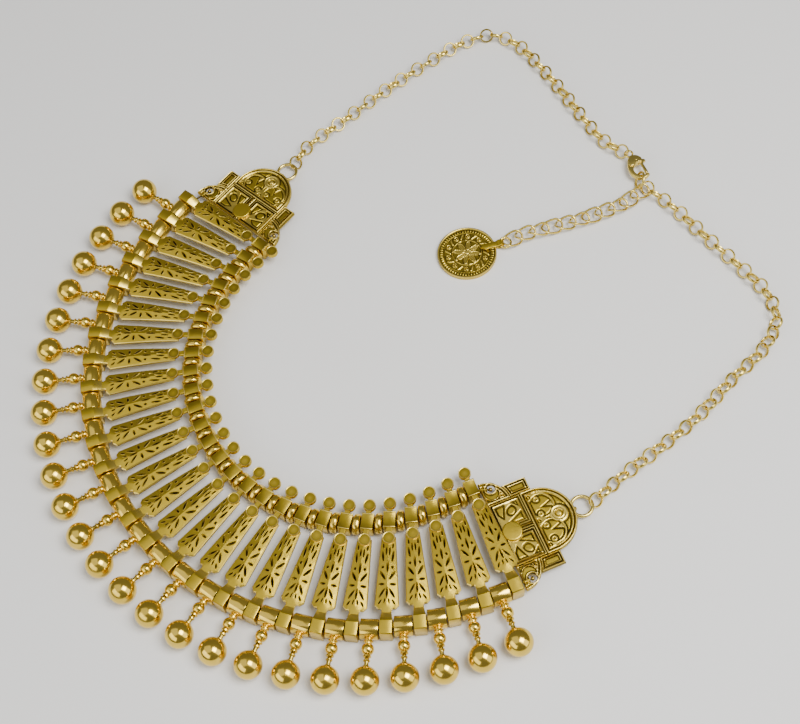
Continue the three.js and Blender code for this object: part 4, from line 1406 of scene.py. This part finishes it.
coin_place = turned_to(COIN_RING_AT, COIN_TURN)
coin = placed(coin_mesh, coin_place @ Matrix.Translation((COIN_FROM_RING, 0, 0)))
leaf_half = [(COIN_RING_R + 0.2, BAIL_HALF), (5.6, BAIL_HALF), (6.2, 1.25)]
leaf = [(x, -y) for x, y in leaf_half] + [(7.6, 0)] + leaf_half[::-1]
leaf_mesh = keep(drawn_out(leaf, BAIL_T / 2, 0.12, 2), "leaf")
stamp(coin, leaf_mesh, coin_place @ Matrix.Translation((0, 0, COIN_TOP + 0.3 + BAIL_T / 2)))
fold_shape = bead([(EYE_R, BAIL_HALF), (EYE_R + BAIL_T, BAIL_HALF)], [], 24)
fold_place = Matrix.Translation((COIN_RING_R, 0, COIN_RING_Z)) @ Matrix.Rotation(math.pi / 2, 4, "X")
stamp(coin, keep(crease(soften(fold_shape, 0.08, segments=1)), "fold"), coin_place @ fold_place)
publish(coin, "coin_and_bail", SATIN, ["coin"])

small_mesh = keep(crease(ring(COIN_RING_R, 2 * COIN_RING_WIRE, 2 * COIN_RING_WIRE, 30, 10), 50), "small hoop")
small_ring = placed(small_mesh, coin_place @ Matrix.Translation((0, 0, COIN_RING_Z)))
publish(small_ring, "coin_hoop", WIRE, ["coin_ring"])

# %% [markdown]
# ## Table, light and camera
#
# The necklace lies on a plain pale table. Polished brass shows what is round it. A small strong lamp
# stands above and behind, away from the direction that flat tops would mirror into the lens. A broad weak
# card, a side lamp and a low front lamp give the balls their edges, and a dim room the dark parts of their
# reflections. The camera stands where the photographer stood, above the bib's right side, rolled a little.


# %% Table and lights
TABLE_HALF = 8
WORLD_STRENGTH = 0.25

table_finish = bpy.data.materials.new("pale table")
table_finish.use_nodes = True
table_shader = table_finish.node_tree.nodes["Principled BSDF"]
table_shader.inputs["Base Color"].default_value = (0.8, 0.79, 0.77, 1)
table_shader.inputs["Roughness"].default_value = 0.6

table_shape = bmesh.new()
bmesh.ops.create_grid(table_shape, x_segments=1, y_segments=1, size=TABLE_HALF)
table = into_scene("table", keep(table_shape, "table"))
table.data.materials.append(table_finish)


def soft_light(name, place, size, power):
    """A rectangular lamp that faces the necklace."""
    lamp = bpy.data.lights.new(name, "AREA")
    lamp.shape = "RECTANGLE"
    lamp.size, lamp.size_y = size
    lamp.energy = power
    holder = into_scene(name, lamp)
    holder.location = place
    holder.rotation_euler = (-Vector(place)).to_track_quat("-Z", "Y").to_euler()


soft_light("overhead", (0.26, 0.16, 0.66), (0.36, 0.36), 6)
soft_light("broad card", (-0.22, -0.38, 0.8), (0.9, 0.9), 1.9)
soft_light("side", (0.5, 0.25, 0.35), (0.4, 0.6), 1.5)
soft_light("low front", (0.05, -0.55, 0.3), (0.7, 0.3), 1.5)

world = bpy.data.worlds.new("studio")
world.use_nodes = True
background = world.node_tree.nodes["Background"]
background.inputs["Color"].default_value = (0.88, 0.87, 0.84, 1)
background.inputs["Strength"].default_value = WORLD_STRENGTH
bpy.context.scene.world = world

# %% Camera
LENS = 61.48
ELEVATION = math.radians(61.41)
ROLL = math.radians(-9.257)
ROUND = math.radians(59.7)
CAMERA_AT = Vector((170.2, -89.2, 349.4))

forward = Vector((0, math.cos(ELEVATION), -math.sin(ELEVATION)))
up = Vector((0, math.sin(ELEVATION), math.cos(ELEVATION)))
right = Vector((1, 0, 0))
camera_x = right * math.cos(ROLL) + up * math.sin(ROLL)
camera_y = up * math.cos(ROLL) - right * math.sin(ROLL)
looking = Matrix((camera_x, camera_y, -forward)).transposed().to_4x4()

lens = bpy.data.cameras.new("photographer")
lens.lens = LENS
lens.sensor_width = 36
lens.sensor_fit = "HORIZONTAL"
lens.clip_start = 0.01
camera = into_scene("photographer", lens)
stand = Matrix.Translation((CAMERA_AT + FAN_CENTRE) * MM)
camera.matrix_world = stand @ Matrix.Rotation(ROUND, 4, "Z") @ looking
bpy.context.scene.camera = camera
